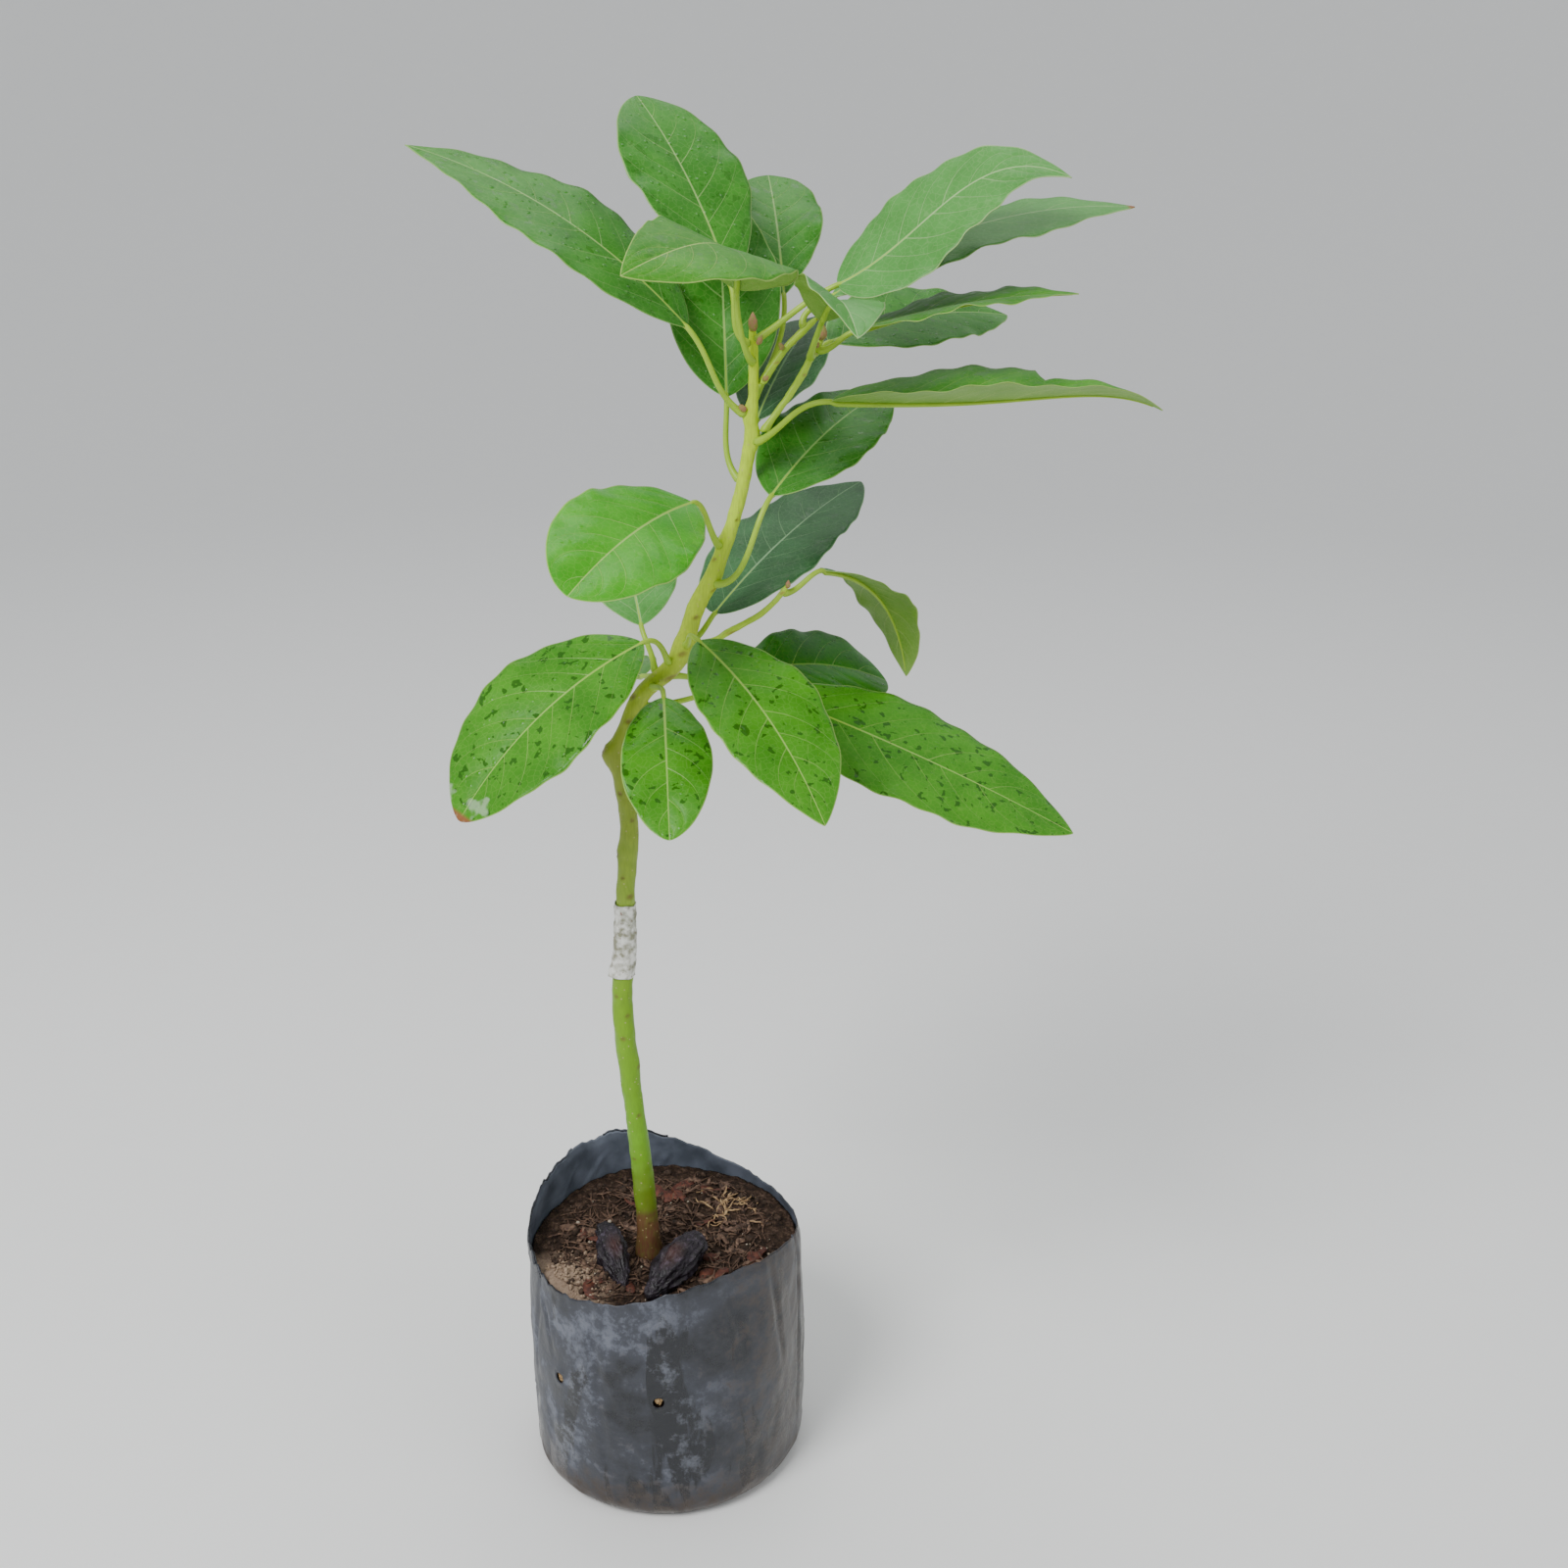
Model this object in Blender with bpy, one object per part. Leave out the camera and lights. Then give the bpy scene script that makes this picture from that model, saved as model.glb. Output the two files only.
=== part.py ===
# A young grafted avocado tree standing in a black film nursery bag, as separate named solids.
# Metres, +Z up. The origin is the centre of the bag's flat underside, and -Y is the front.

import math

import bmesh
import bpy
import numpy as np

# Clearances that pieces in contact keep, because meshes hold 32-bit numbers. A leaf stalk has a
# little more, because the trunk curves towards the flat end of the stalk.
GAP = 0.0003
STALK_GAP = 0.0005

# Nursery bag: a round bag of polyethylene film, drawn with a wall that a solid can have
BAG_RADIUS = 0.0755
BAG_BELLY = 0.0015
BAG_RIM_RADIUS = 0.0735
BAG_RIM_HEIGHT = 0.144
BAG_RIM_SAG = 0.0095
BAG_RIM_HIGH_BEARING = -50
BAG_RIM_LEAN = 0.003
BAG_RIM_LEAN_BEARING = 140
BAG_DENT_WIDE = 0.0010
BAG_DENT_NARROW = 0.0007
BAG_CORNER = 0.010
BAG_WALL = 0.0012
BAG_SIDES = 48
BAG_LEVELS = (0.030, 0.055, 0.080, 0.105, 0.125)

# Soil: clear of the bag all round, level where the stem and the seed halves stand, heaped elsewhere
SOIL_TOP = 0.128
SOIL_EDGE_DROP = 0.001
SOIL_WALL_TOP = 0.124
SOIL_CLEARANCE = 0.0005
SOIL_RINGS = (0.93, 0.80, 0.66, 0.50, 0.32, 0.15)
HEAPS = (
    # x, y, height, reach
    (-0.053, -0.037, 0.0070, 0.017),
    (0.030, 0.040, 0.0035, 0.026),
    (-0.040, 0.038, 0.0025, 0.022),
    (0.048, -0.018, 0.0020, 0.018),
)

# Seed halves: blunt end, pointed end, width and thickness
SEED_HALVES = {
    "seed_half_left": dict(
        blunt=(-0.034, 0.001, 0.138), point=(-0.019, -0.043, 0.128), width=0.020, depth=0.022,
    ),
    "seed_half_right": dict(
        blunt=(0.021, -0.011, 0.139), point=(-0.006, -0.054, 0.129), width=0.026, depth=0.026,
    ),
}

# Stem of the seedling and the grafted scion in one limb: height, x, y, diameter
TRUNK = (
    (SOIL_TOP + GAP, -0.0083, -0.0120, 0.0150),
    (0.1380, -0.0083, -0.0118, 0.0128),
    (0.1765, -0.0103, -0.0105, 0.0117),
    (0.2196, -0.0139, -0.0090, 0.0103),
    (0.2610, -0.0174, -0.0080, 0.0110),
    (0.2813, -0.0183, -0.0070, 0.0108),
    (0.3154, -0.0158, -0.0060, 0.0104),
    (0.3405, -0.0150, -0.0050, 0.0094),
    (0.3784, -0.0119, -0.0040, 0.0092),
    (0.3973, -0.0138, -0.0035, 0.0082),
    (0.4164, -0.0160, -0.0030, 0.0080),
    (0.4321, -0.0113, -0.0025, 0.0079),
    (0.4492, -0.0021, -0.0020, 0.0086),
    (0.4621, 0.0120, -0.0015, 0.0088),
    (0.4720, 0.0172, -0.0010, 0.0090),
    (0.4894, 0.0230, -0.0005, 0.0086),
    (0.5110, 0.0337, 0.0000, 0.0072),
    (0.5359, 0.0428, 0.0010, 0.0065),
    (0.5663, 0.0495, 0.0020, 0.0061),
    (0.5900, 0.0517, 0.0026, 0.0050),
    (0.6060, 0.0520, 0.0030, 0.0045),
    (0.6200, 0.0516, 0.0036, 0.0034),
    (0.6262, 0.0518, 0.0036, 0.0016),
)
# Swellings: height, bearing, how far they stand out, how far they spread
TRUNK_SWELLINGS = (
    (0.1290, -40, 0.0010, 0.006),
    (0.2440, 20, 0.0007, 0.007),
    (0.3420, -60, 0.0012, 0.005),
    (0.3640, 170, 0.0014, 0.007),
    (0.3990, 150, 0.0008, 0.005),
    (0.4165, 180, 0.0044, 0.006),
    (0.4560, 230, 0.0010, 0.006),
    (0.4700, 0, 0.0022, 0.006),
    (0.4720, 150, 0.0010, 0.006),
    (0.5060, -20, 0.0012, 0.006),
    (0.5210, 200, 0.0010, 0.005),
    (0.5720, 0, 0.0018, 0.006),
    (0.5820, 180, 0.0020, 0.005),
)
SHOOTS = {
    "shoot_right": (
        (0.5752, 0.0566, 0.0010, 0.0044),
        (0.5797, 0.0597, 0.0014, 0.0035),
        (0.5894, 0.0669, 0.0020, 0.0034),
        (0.6036, 0.0759, 0.0028, 0.0034),
        (0.6106, 0.0795, 0.0030, 0.0037),
        (0.6150, 0.0820, 0.0030, 0.0040),
        (0.6196, 0.0838, 0.0030, 0.0014),
    ),
    "shoot_middle": (
        (0.5966, 0.0557, 0.0044, 0.0040),
        (0.6049, 0.0612, 0.0060, 0.0035),
        (0.6123, 0.0669, 0.0070, 0.0033),
        (0.6197, 0.0746, 0.0080, 0.0032),
        (0.6243, 0.0800, 0.0090, 0.0026),
        (0.6260, 0.0822, 0.0094, 0.0012),
    ),
    "twig_low_right": (
        (0.4720, 0.0246, -0.0004, 0.0046),
        (0.4734, 0.0298, 0.0000, 0.0036),
        (0.4779, 0.0389, 0.0020, 0.0032),
        (0.4852, 0.0536, 0.0060, 0.0029),
        (0.4930, 0.0627, 0.0080, 0.0029),
        (0.4971, 0.0660, 0.0090, 0.0030),
        (0.4998, 0.0680, 0.0094, 0.0014),
    ),
}
LIMB_SIDES = 12
SHOOT_SIDES = 8
TRUNK_STEP = 0.0075
SHOOT_STEP = 0.0060

# Old grafting film round the union, from its lower to its upper edge
WRAP_HEIGHTS = (0.2965, 0.3365)
WRAP_CLEARANCE = 0.0006
WRAP_THICKNESS = 0.0012

# Leaves: the limb and the height on it where the stalk leaves, where the blade begins (heel)
# and ends (tip), its width, how far its left side is rolled up, how far that changes towards the
# tip, how far both halves fold up along the rib and cup towards the margins, how far the rib bows up
# (arch) and sideways (sway) and where it is highest (crest), where the blade is widest and how full its
# outline is, how the margins wave, and how thick the stalk is. Angles are in degrees.
LEAF_DEFAULTS = dict(
    twist=0,
    fold=10,
    cup=12,
    arch=0.006,
    crest=0.5,
    sway=0.0,
    widest=0.45,
    fullness=1.55,
    wave=0.0012,
    waves=2.5,
    stalk=0.0030,
)
LEAVES = {
    "leaf_01_left_high": dict(
        limb="trunk", at=0.583, heel=(0.022, -0.004, 0.623), tip=(-0.107, 0.030, 0.700),
        width=0.062, roll=-16, fold=4, cup=8, arch=0.011, widest=0.41, fullness=1.75,
    ),
    "leaf_02_back_high": dict(
        limb="trunk", at=0.615, heel=(0.042, 0.004, 0.640), tip=(-0.003, 0.060, 0.721),
        width=0.060, roll=-5, widest=0.55,
    ),
    "leaf_03_front_high": dict(
        limb="trunk", at=0.607, heel=(0.045, -0.012, 0.640), tip=(0.003, -0.120, 0.655),
        width=0.066, roll=-4, twist=-32, fold=6, arch=0.016, sway=0.014,
    ),
    "leaf_04_back_inner": dict(
        limb="trunk", at=0.552, heel=(0.039, 0.014, 0.589), tip=(0.034, 0.065, 0.681),
        width=0.055, roll=0,
    ),
    "leaf_05_back_right_high": dict(
        limb="trunk", at=0.590, heel=(0.066, 0.045, 0.632), tip=(0.058, 0.115, 0.684),
        width=0.046, roll=0, widest=0.58,
    ),
    "leaf_06_right_high": dict(
        limb="trunk", at=0.617, heel=(0.090, 0.000, 0.641), tip=(0.192, -0.010, 0.687),
        width=0.053, roll=40, fold=2, cup=6, arch=0.016, crest=0.7, widest=0.38,
    ),
    "leaf_07_right_high_rear": dict(
        limb="shoot_middle", at=0.621, heel=(0.088, 0.012, 0.635), tip=(0.228, 0.030, 0.673),
        width=0.055, roll=14, fold=3, arch=0.012,
    ),
    "leaf_08_right_shaded": dict(
        limb="shoot_right", at=0.611, heel=(0.087, 0.015, 0.614), tip=(0.181, 0.110, 0.616),
        width=0.052, roll=25,
    ),
    "leaf_09_right_level": dict(
        limb="shoot_right", at=0.613, heel=(0.098, -0.004, 0.621), tip=(0.198, -0.010, 0.638),
        width=0.050, roll=3, arch=0.004,
    ),
    "leaf_10_right_small": dict(
        limb="shoot_right", at=0.609, heel=(0.083, -0.012, 0.626), tip=(0.096, -0.090, 0.628),
        width=0.040, roll=-18, fold=20, arch=0.012,
    ),
    "leaf_11_right_long": dict(
        limb="trunk", at=0.571, heel=(0.087, -0.020, 0.592), tip=(0.233, -0.040, 0.591),
        width=0.066, roll=0, fold=25, arch=0.006, crest=0.8,
    ),
    "leaf_12_right_mid": dict(
        limb="trunk", at=0.505, heel=(0.060, -0.005, 0.546), tip=(0.118, 0.080, 0.582),
        width=0.055, roll=12,
    ),
    "leaf_13_back_mid": dict(
        limb="trunk", at=0.475, heel=(0.032, 0.010, 0.485), tip=(0.107, 0.110, 0.530),
        width=0.060, roll=5, widest=0.42, fullness=1.35,
    ),
    "leaf_14_left_mid": dict(
        limb="trunk", at=0.521, heel=(0.024, -0.020, 0.546), tip=(-0.023, -0.120, 0.528),
        width=0.059, roll=-28, widest=0.55, fullness=1.3,
    ),
    "leaf_15_back_left_mid": dict(
        limb="trunk", at=0.456, heel=(-0.004, 0.010, 0.479), tip=(-0.026, 0.100, 0.517),
        width=0.050, roll=0,
    ),
    "leaf_16_right_hanging": dict(
        limb="twig_low_right", at=0.4965, heel=(0.085, 0.020, 0.504), tip=(0.131, 0.070, 0.434),
        width=0.040, roll=0, arch=0.016,
    ),
    "leaf_17_left_low": dict(
        limb="trunk", at=0.463, heel=(-0.001, -0.020, 0.479), tip=(-0.084, -0.070, 0.408),
        width=0.070, roll=-20, arch=0.010, widest=0.50, fullness=1.38,
    ),
    "leaf_18_front_low": dict(
        limb="trunk", at=0.453, heel=(0.009, -0.030, 0.455), tip=(0.015, -0.100, 0.411),
        width=0.042, roll=0, widest=0.53, fullness=1.35,
    ),
    "leaf_19_front_right_low": dict(
        limb="trunk", at=0.474, heel=(0.026, -0.030, 0.483), tip=(0.084, -0.110, 0.422),
        width=0.057, roll=8, sway=0.003,
    ),
    "leaf_20_back_right_low": dict(
        limb="trunk", at=0.459, heel=(0.040, 0.020, 0.449), tip=(0.120, 0.065, 0.433),
        width=0.056, roll=24, arch=0.008, widest=0.6,
    ),
    "leaf_21_right_low": dict(
        limb="trunk", at=0.444, heel=(0.059, 0.000, 0.447), tip=(0.209, -0.020, 0.381),
        width=0.074, roll=20, fold=2, cup=6, arch=0.003,
    ),
    "leaf_22_back_right_mid": dict(
        limb="trunk", at=0.577, heel=(0.053, 0.020, 0.577), tip=(0.085, 0.100, 0.617),
        width=0.045, roll=0,
    ),
    "leaf_23_back_left_low": dict(
        limb="trunk", at=0.452, heel=(-0.005, 0.020, 0.450), tip=(-0.063, 0.110, 0.407),
        width=0.055, roll=-10,
    ),
}
LEAF_THICKNESS = 0.0016
LEAF_THINNING = 0.9
LEAF_EDGE = 0.0003
LEAF_RIB = 0.0010
LEAF_COLUMNS = (-1.0, -0.55, 0.0, 0.55, 1.0)
BLADE_RINGS = 12
BLADE_END = 0.995
STALK_RINGS = 6
STALK_RISE = 0.6
STALK_HANDLE = 0.38
STALK_FLARE = 0.25
STALK_TAPER = 0.15

# Surface colours (linear), roughness
FINISHES = {
    "bag_film": ((0.020, 0.024, 0.034), 0.38),
    "soil": ((0.055, 0.032, 0.020), 0.95),
    "seed_coat": ((0.022, 0.012, 0.020), 0.70),
    "green_bark": ((0.170, 0.280, 0.035), 0.50),
    "green_shoot": ((0.300, 0.430, 0.050), 0.45),
    "grafting_film": ((0.480, 0.460, 0.430), 0.60),
    "leaf": ((0.050, 0.190, 0.030), 0.35),
}


def clear_scene():
    for item in list(bpy.data.objects):
        bpy.data.objects.remove(item, do_unlink=True)


def finish(name):
    """The named material, made once."""
    material = bpy.data.materials.get(name)
    if material is None:
        colour, roughness = FINISHES[name]
        material = bpy.data.materials.new(name)
        material.use_nodes = True
        shader = material.node_tree.nodes["Principled BSDF"]
        shader.inputs["Base Color"].default_value = (*colour, 1.0)
        shader.inputs["Roughness"].default_value = roughness
        shader.inputs["Metallic"].default_value = 0.0
    return material


def add_object(name, bm, material):
    """A smooth object from a closed bmesh."""
    bmesh.ops.recalc_face_normals(bm, faces=bm.faces[:])
    mesh = bpy.data.meshes.new(name)
    bm.to_mesh(mesh)
    bm.free()
    mesh.shade_smooth()
    mesh.set_sharp_from_angle(angle=math.radians(50))
    item = bpy.data.objects.new(name, mesh)
    item.data.materials.append(finish(material))
    bpy.context.scene.collection.objects.link(item)
    return item


def skin(rings):
    """A bmesh skinned over rings of points, all of one count, closed by a flat face at each end."""
    bm = bmesh.new()
    rows = [[bm.verts.new(point) for point in ring] for ring in rings]
    count = len(rows[0])
    for low, high in zip(rows, rows[1:]):
        for i in range(count):
            j = (i + 1) % count
            bm.faces.new((low[i], low[j], high[j], high[i]))
    bm.faces.new(rows[0][::-1])
    bm.faces.new(rows[-1])
    return bm


def unit(vector):
    return vector / np.linalg.norm(vector)


def across(vector, axis):
    """The unit part of a vector that lies square to a unit axis."""
    return unit(vector - axis * np.dot(vector, axis))


def heading(bearing):
    """A level unit vector, with bearing 0 at +X and 90 at +Y."""
    return np.array((math.cos(math.radians(bearing)), math.sin(math.radians(bearing)), 0.0))


def at_height(stations, height):
    """Centre and radius of a limb at a height, on a smooth curve through its stations."""
    table = np.array(stations)
    heights, values = table[:, 0], table[:, 1:]
    slopes = np.gradient(values, heights, axis=0)
    i = int(np.clip(np.searchsorted(heights, height) - 1, 0, len(heights) - 2))
    span = heights[i + 1] - heights[i]
    t = (height - heights[i]) / span
    start, end = values[i], values[i + 1]
    leave, arrive = slopes[i] * span, slopes[i + 1] * span
    value = (
        (2 * t**3 - 3 * t**2 + 1) * start
        + (t**3 - 2 * t**2 + t) * leave
        + (3 * t**2 - 2 * t**3) * end
        + (t**3 - t**2) * arrive
    )
    return np.array((value[0], value[1], height)), value[2] / 2


def limb_axis(stations, height):
    """The limb's own direction at a height."""
    step = 0.001
    low = max(stations[0][0], height - step)
    high = min(stations[-1][0], height + step)
    return unit(at_height(stations, high)[0] - at_height(stations, low)[0])


def swelling(swellings, height, direction):
    """How far the knuckles and scars stand out of a limb in one direction."""
    total = 0.0
    for level, bearing, size, spread in swellings:
        facing = max(0.0, float(np.dot(direction, heading(bearing))))
        total += size * facing**2 * math.exp(-(((height - level) / spread) ** 2))
    return total


def limb_ring(stations, swellings, height, sides, grow=0.0, level=False):
    """One ring of points round a limb, level or square to its direction."""
    centre, radius = at_height(stations, height)
    axis = np.array((0.0, 0.0, 1.0)) if level else limb_axis(stations, height)
    side = across(np.array((1.0, 0.0, 0.0)), axis)
    front = np.cross(axis, side)
    points = []
    for i in range(sides):
        turn = 2 * math.pi * i / sides
        direction = side * math.cos(turn) + front * math.sin(turn)
        reach = radius + grow + swelling(swellings, height, direction)
        points.append(tuple(centre + direction * reach))
    return points


def limb_heights(stations, step):
    low, high = stations[0][0], stations[-1][0]
    return np.linspace(low, high, max(2, round((high - low) / step)) + 1)


def add_trunk():
    heights = limb_heights(TRUNK, TRUNK_STEP)
    rings = [limb_ring(TRUNK, TRUNK_SWELLINGS, heights[0], LIMB_SIDES, level=True)]
    rings += [limb_ring(TRUNK, TRUNK_SWELLINGS, height, LIMB_SIDES) for height in heights[1:]]
    add_object("trunk", skin(rings), "green_bark")


def add_shoots():
    for name, stations in SHOOTS.items():
        length = np.linalg.norm(np.array(stations[-1][:3]) - np.array(stations[0][:3]))
        count = max(4, round(length / SHOOT_STEP))
        heights = np.linspace(stations[0][0], stations[-1][0], count + 1)
        rings = [limb_ring(stations, (), height, SHOOT_SIDES) for height in heights]
        add_object(name, skin(rings), "green_shoot")


def add_graft_wrap():
    """A sleeve of film that follows the trunk's own rings, closed on itself like a tube."""
    low, high = WRAP_HEIGHTS
    inside = [height for height in limb_heights(TRUNK, TRUNK_STEP) if low < height < high]
    heights = [low, *inside, high]
    inner, outer = [
        [limb_ring(TRUNK, TRUNK_SWELLINGS, height, LIMB_SIDES, grow) for height in heights]
        for grow in (WRAP_CLEARANCE, WRAP_CLEARANCE + WRAP_THICKNESS)
    ]
    bm = bmesh.new()
    rows = [[bm.verts.new(point) for point in ring] for ring in outer + inner[::-1]]
    for first, second in zip(rows, rows[1:] + rows[:1]):
        for i in range(LIMB_SIDES):
            j = (i + 1) % LIMB_SIDES
            bm.faces.new((first[i], first[j], second[j], second[i]))
    add_object("graft_wrap", bm, "grafting_film")


def bag_rim(turn):
    """Height of the cut rim, which dips at two places and stands higher at the back left."""
    dips = BAG_RIM_SAG * math.cos(2 * (turn - math.radians(BAG_RIM_HIGH_BEARING)))
    lean = BAG_RIM_LEAN * math.cos(turn - math.radians(BAG_RIM_LEAN_BEARING))
    return BAG_RIM_HEIGHT + dips + lean


def bag_radius(height, turn):
    """Outer radius of the bag: a slight belly, drawn in towards the rim, pressed out of round."""
    share = height / BAG_RIM_HEIGHT
    belly = BAG_BELLY * math.sin(math.pi * min(share, 1.0))
    drawn_in = (BAG_RIM_RADIUS - BAG_RADIUS) * share**3
    wide, narrow = math.cos(3 * turn + 0.6), math.cos(5 * turn - 4 * share)
    out_of_round = BAG_DENT_WIDE * wide + BAG_DENT_NARROW * narrow
    return BAG_RADIUS + belly + drawn_in + out_of_round * min(1.0, 0.3 + share)


def bag_ring(height, inset, rising=0.0, shrink=0.0):
    """A ring of the bag's wall: inset from the outer face, at a level or a share of the rim."""
    points = []
    for i in range(BAG_SIDES):
        turn = 2 * math.pi * i / BAG_SIDES
        level = height + rising * (bag_rim(turn) - BAG_RIM_HEIGHT)
        reach = bag_radius(level, turn) - inset - shrink
        points.append((reach * math.cos(turn), reach * math.sin(turn), level))
    return points


def bag_face(inset, floor):
    """Rings of one face of the bag, from the middle of its floor up to the rim."""
    corner = BAG_CORNER - inset
    rings = [bag_ring(floor, inset, shrink=(BAG_RADIUS - BAG_CORNER) * share) for share in (0.93, 0.45)]
    for i in range(4):
        turn = math.pi / 2 * i / 3
        level = floor + corner * (1 - math.cos(turn))
        rings.append(bag_ring(level, inset, shrink=corner * (1 - math.sin(turn))))
    for level in BAG_LEVELS:
        rings.append(bag_ring(level, inset, rising=(level / BAG_RIM_HEIGHT) ** 2))
    rings.append(bag_ring(BAG_RIM_HEIGHT, inset, rising=1.0))
    return rings


def add_bag():
    outer = bag_face(0.0, 0.0)
    inner = bag_face(BAG_WALL, BAG_WALL)
    add_object("grow_bag", skin(outer + inner[::-1]), "bag_film")


def soil_height(x, y):
    """Level of the soil, with its heaps."""
    level = SOIL_TOP
    for heap_x, heap_y, height, reach in HEAPS:
        near = max(0.0, 1 - ((x - heap_x) ** 2 + (y - heap_y) ** 2) / reach**2)
        level += height * near**2
    return level


def add_soil():
    """The soil fills the bag, clear of its wall, up to its uneven top."""
    inset = BAG_WALL + SOIL_CLEARANCE
    walls = [ring for ring in bag_face(inset, inset) if max(point[2] for point in ring) < SOIL_WALL_TOP]
    edge = [(x, y, soil_height(x, y) - SOIL_EDGE_DROP) for x, y, _ in bag_ring(SOIL_TOP, inset)]
    rings = [*walls, edge]
    for share in SOIL_RINGS:
        ring = []
        for x, y, _ in edge:
            ring.append((x * share, y * share, soil_height(x * share, y * share)))
        rings.append(ring)
    add_object("potting_soil", skin(rings), "soil")


def add_seed_halves():
    """Shrivelled halves of the seed, cut off flat where they sit on the soil."""
    for name, half in SEED_HALVES.items():
        blunt, point = np.array(half["blunt"]), np.array(half["point"])
        axis = unit(point - blunt)
        side = unit(np.cross((0.0, 0.0, 1.0), axis))
        rise = np.cross(axis, side)
        middle = (blunt + point) / 2
        length = np.linalg.norm(point - blunt)
        bm = bmesh.new()
        bmesh.ops.create_icosphere(bm, subdivisions=3, radius=1.0)
        for vert in bm.verts:
            lengthwise, sideways, upward = vert.co
            taper = 1.0 - 0.35 * max(0.0, lengthwise) ** 1.5
            ridge = 1.0 + 0.07 * math.sin(5 * sideways + 3 * lengthwise) + 0.05 * math.cos(7 * lengthwise)
            vert.co = tuple(
                middle
                + axis * lengthwise * length / 2
                + side * sideways * half["width"] / 2 * taper * ridge
                + rise * upward * half["depth"] / 2 * taper * ridge
            )
        floor = SOIL_TOP + GAP
        everything = bm.verts[:] + bm.edges[:] + bm.faces[:]
        cut = bmesh.ops.bisect_plane(
            bm, geom=everything, plane_co=(0, 0, floor), plane_no=(0, 0, 1), clear_inner=True
        )
        rim = [item for item in cut["geom_cut"] if isinstance(item, bmesh.types.BMEdge)]
        bmesh.ops.contextual_create(bm, geom=rim)
        bmesh.ops.dissolve_limit(bm, angle_limit=math.radians(4), verts=bm.verts[:], edges=bm.edges[:])
        add_object(name, bm, "seed_coat")


def leaf_outline(leaf, u):
    """Half width of a blade at a share of its length: narrow heel, widest before the middle."""
    widest, fullness = leaf["widest"], leaf["fullness"]
    rise = (u / widest) ** (fullness * widest)
    fall = ((1 - u) / (1 - widest)) ** (fullness * (1 - widest))
    return leaf["width"] / 2 * rise * fall


def blade_frame(leaf, u):
    """Point on the rib with its direction, the blade's left side and its upper side."""
    heel, tip = np.array(leaf["heel"]), np.array(leaf["tip"])
    chord = tip - heel
    level_side = unit(np.cross((0.0, 0.0, 1.0), chord))
    level_up = unit(np.cross(chord, level_side))
    power = math.log(0.5) / math.log(leaf["crest"])
    share = u**power
    bow = 4 * share * (1 - share)
    bow_slope = (4 - 8 * share) * power * u ** (power - 1)
    bend = level_up * leaf["arch"] + level_side * leaf["sway"]
    point = heel + chord * u + bend * bow
    along = unit(chord + bend * bow_slope)
    roll = math.radians(leaf["roll"] + leaf["twist"] * u)
    side = across(level_side * math.cos(roll) + level_up * math.sin(roll), along)
    return point, along, side, np.cross(along, side)


def blade_section(leaf, u, v):
    """Sideways and upward reach of the blade's middle surface at a share v of its half width."""
    reach = abs(v) * leaf_outline(leaf, u)
    fold = math.radians(leaf["fold"])
    cup = math.radians(leaf["cup"]) * abs(v)
    if cup > 0:
        out = reach * (math.sin(fold) - math.sin(fold - cup)) / cup
        rise = reach * (math.cos(fold - cup) - math.cos(fold)) / cup
    else:
        out, rise = reach * math.cos(fold), reach * math.sin(fold)
    phase = 2 * math.pi * leaf["waves"] * u + (1.9 if v > 0 else 0.0)
    rise += leaf["wave"] * math.sin(phase) * abs(v) ** 2 * math.sin(math.pi * u)
    return math.copysign(out, v), rise


def blade_ring(leaf, u):
    """A flat ring of the blade: its upper face from right to left, then its lower face back."""
    point, _, side, top = blade_frame(leaf, u)
    thinned = max(0.0, u - LEAF_THINNING) / (1 - LEAF_THINNING)
    half = LEAF_THICKNESS / 2 * (1 - thinned / 2)
    upper, lower = [], []
    for v in LEAF_COLUMNS:
        out, rise = blade_section(leaf, u, v)
        out += LEAF_EDGE * v
        rib = LEAF_RIB * (1 - u) if v == 0 else 0.0
        upper.append(tuple(point + side * out + top * (rise + half)))
        lower.append(tuple(point + side * out + top * (rise - half - rib)))
    return upper + lower[::-1]


def stalk_ring(centre, axis, side, radius):
    """A round ring with the same order of points as a blade's ring."""
    side = across(side, axis)
    top = np.cross(axis, side)
    count = len(LEAF_COLUMNS)
    angles = [math.radians(72 - 36 * i) for i in range(count)]
    upper = [(-math.sin(angle), math.cos(angle)) for angle in angles]
    lower = [(out, -rise) for out, rise in upper[::-1]]
    return [tuple(centre + side * out * radius + top * rise * radius) for out, rise in upper + lower]


def stalk_path(start, leave, end, arrive, t):
    """Point and direction on the stalk's curve from the limb to the heel."""
    handle = np.linalg.norm(end - start) * STALK_HANDLE
    a, b, c, d = start, start + leave * handle, end - arrive * handle, end
    point = a * (1 - t) ** 3 + b * 3 * t * (1 - t) ** 2 + c * 3 * t**2 * (1 - t) + d * t**3
    slope = (b - a) * 3 * (1 - t) ** 2 + (c - b) * 6 * t * (1 - t) + (d - c) * 3 * t**2
    return point, unit(slope)


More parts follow.
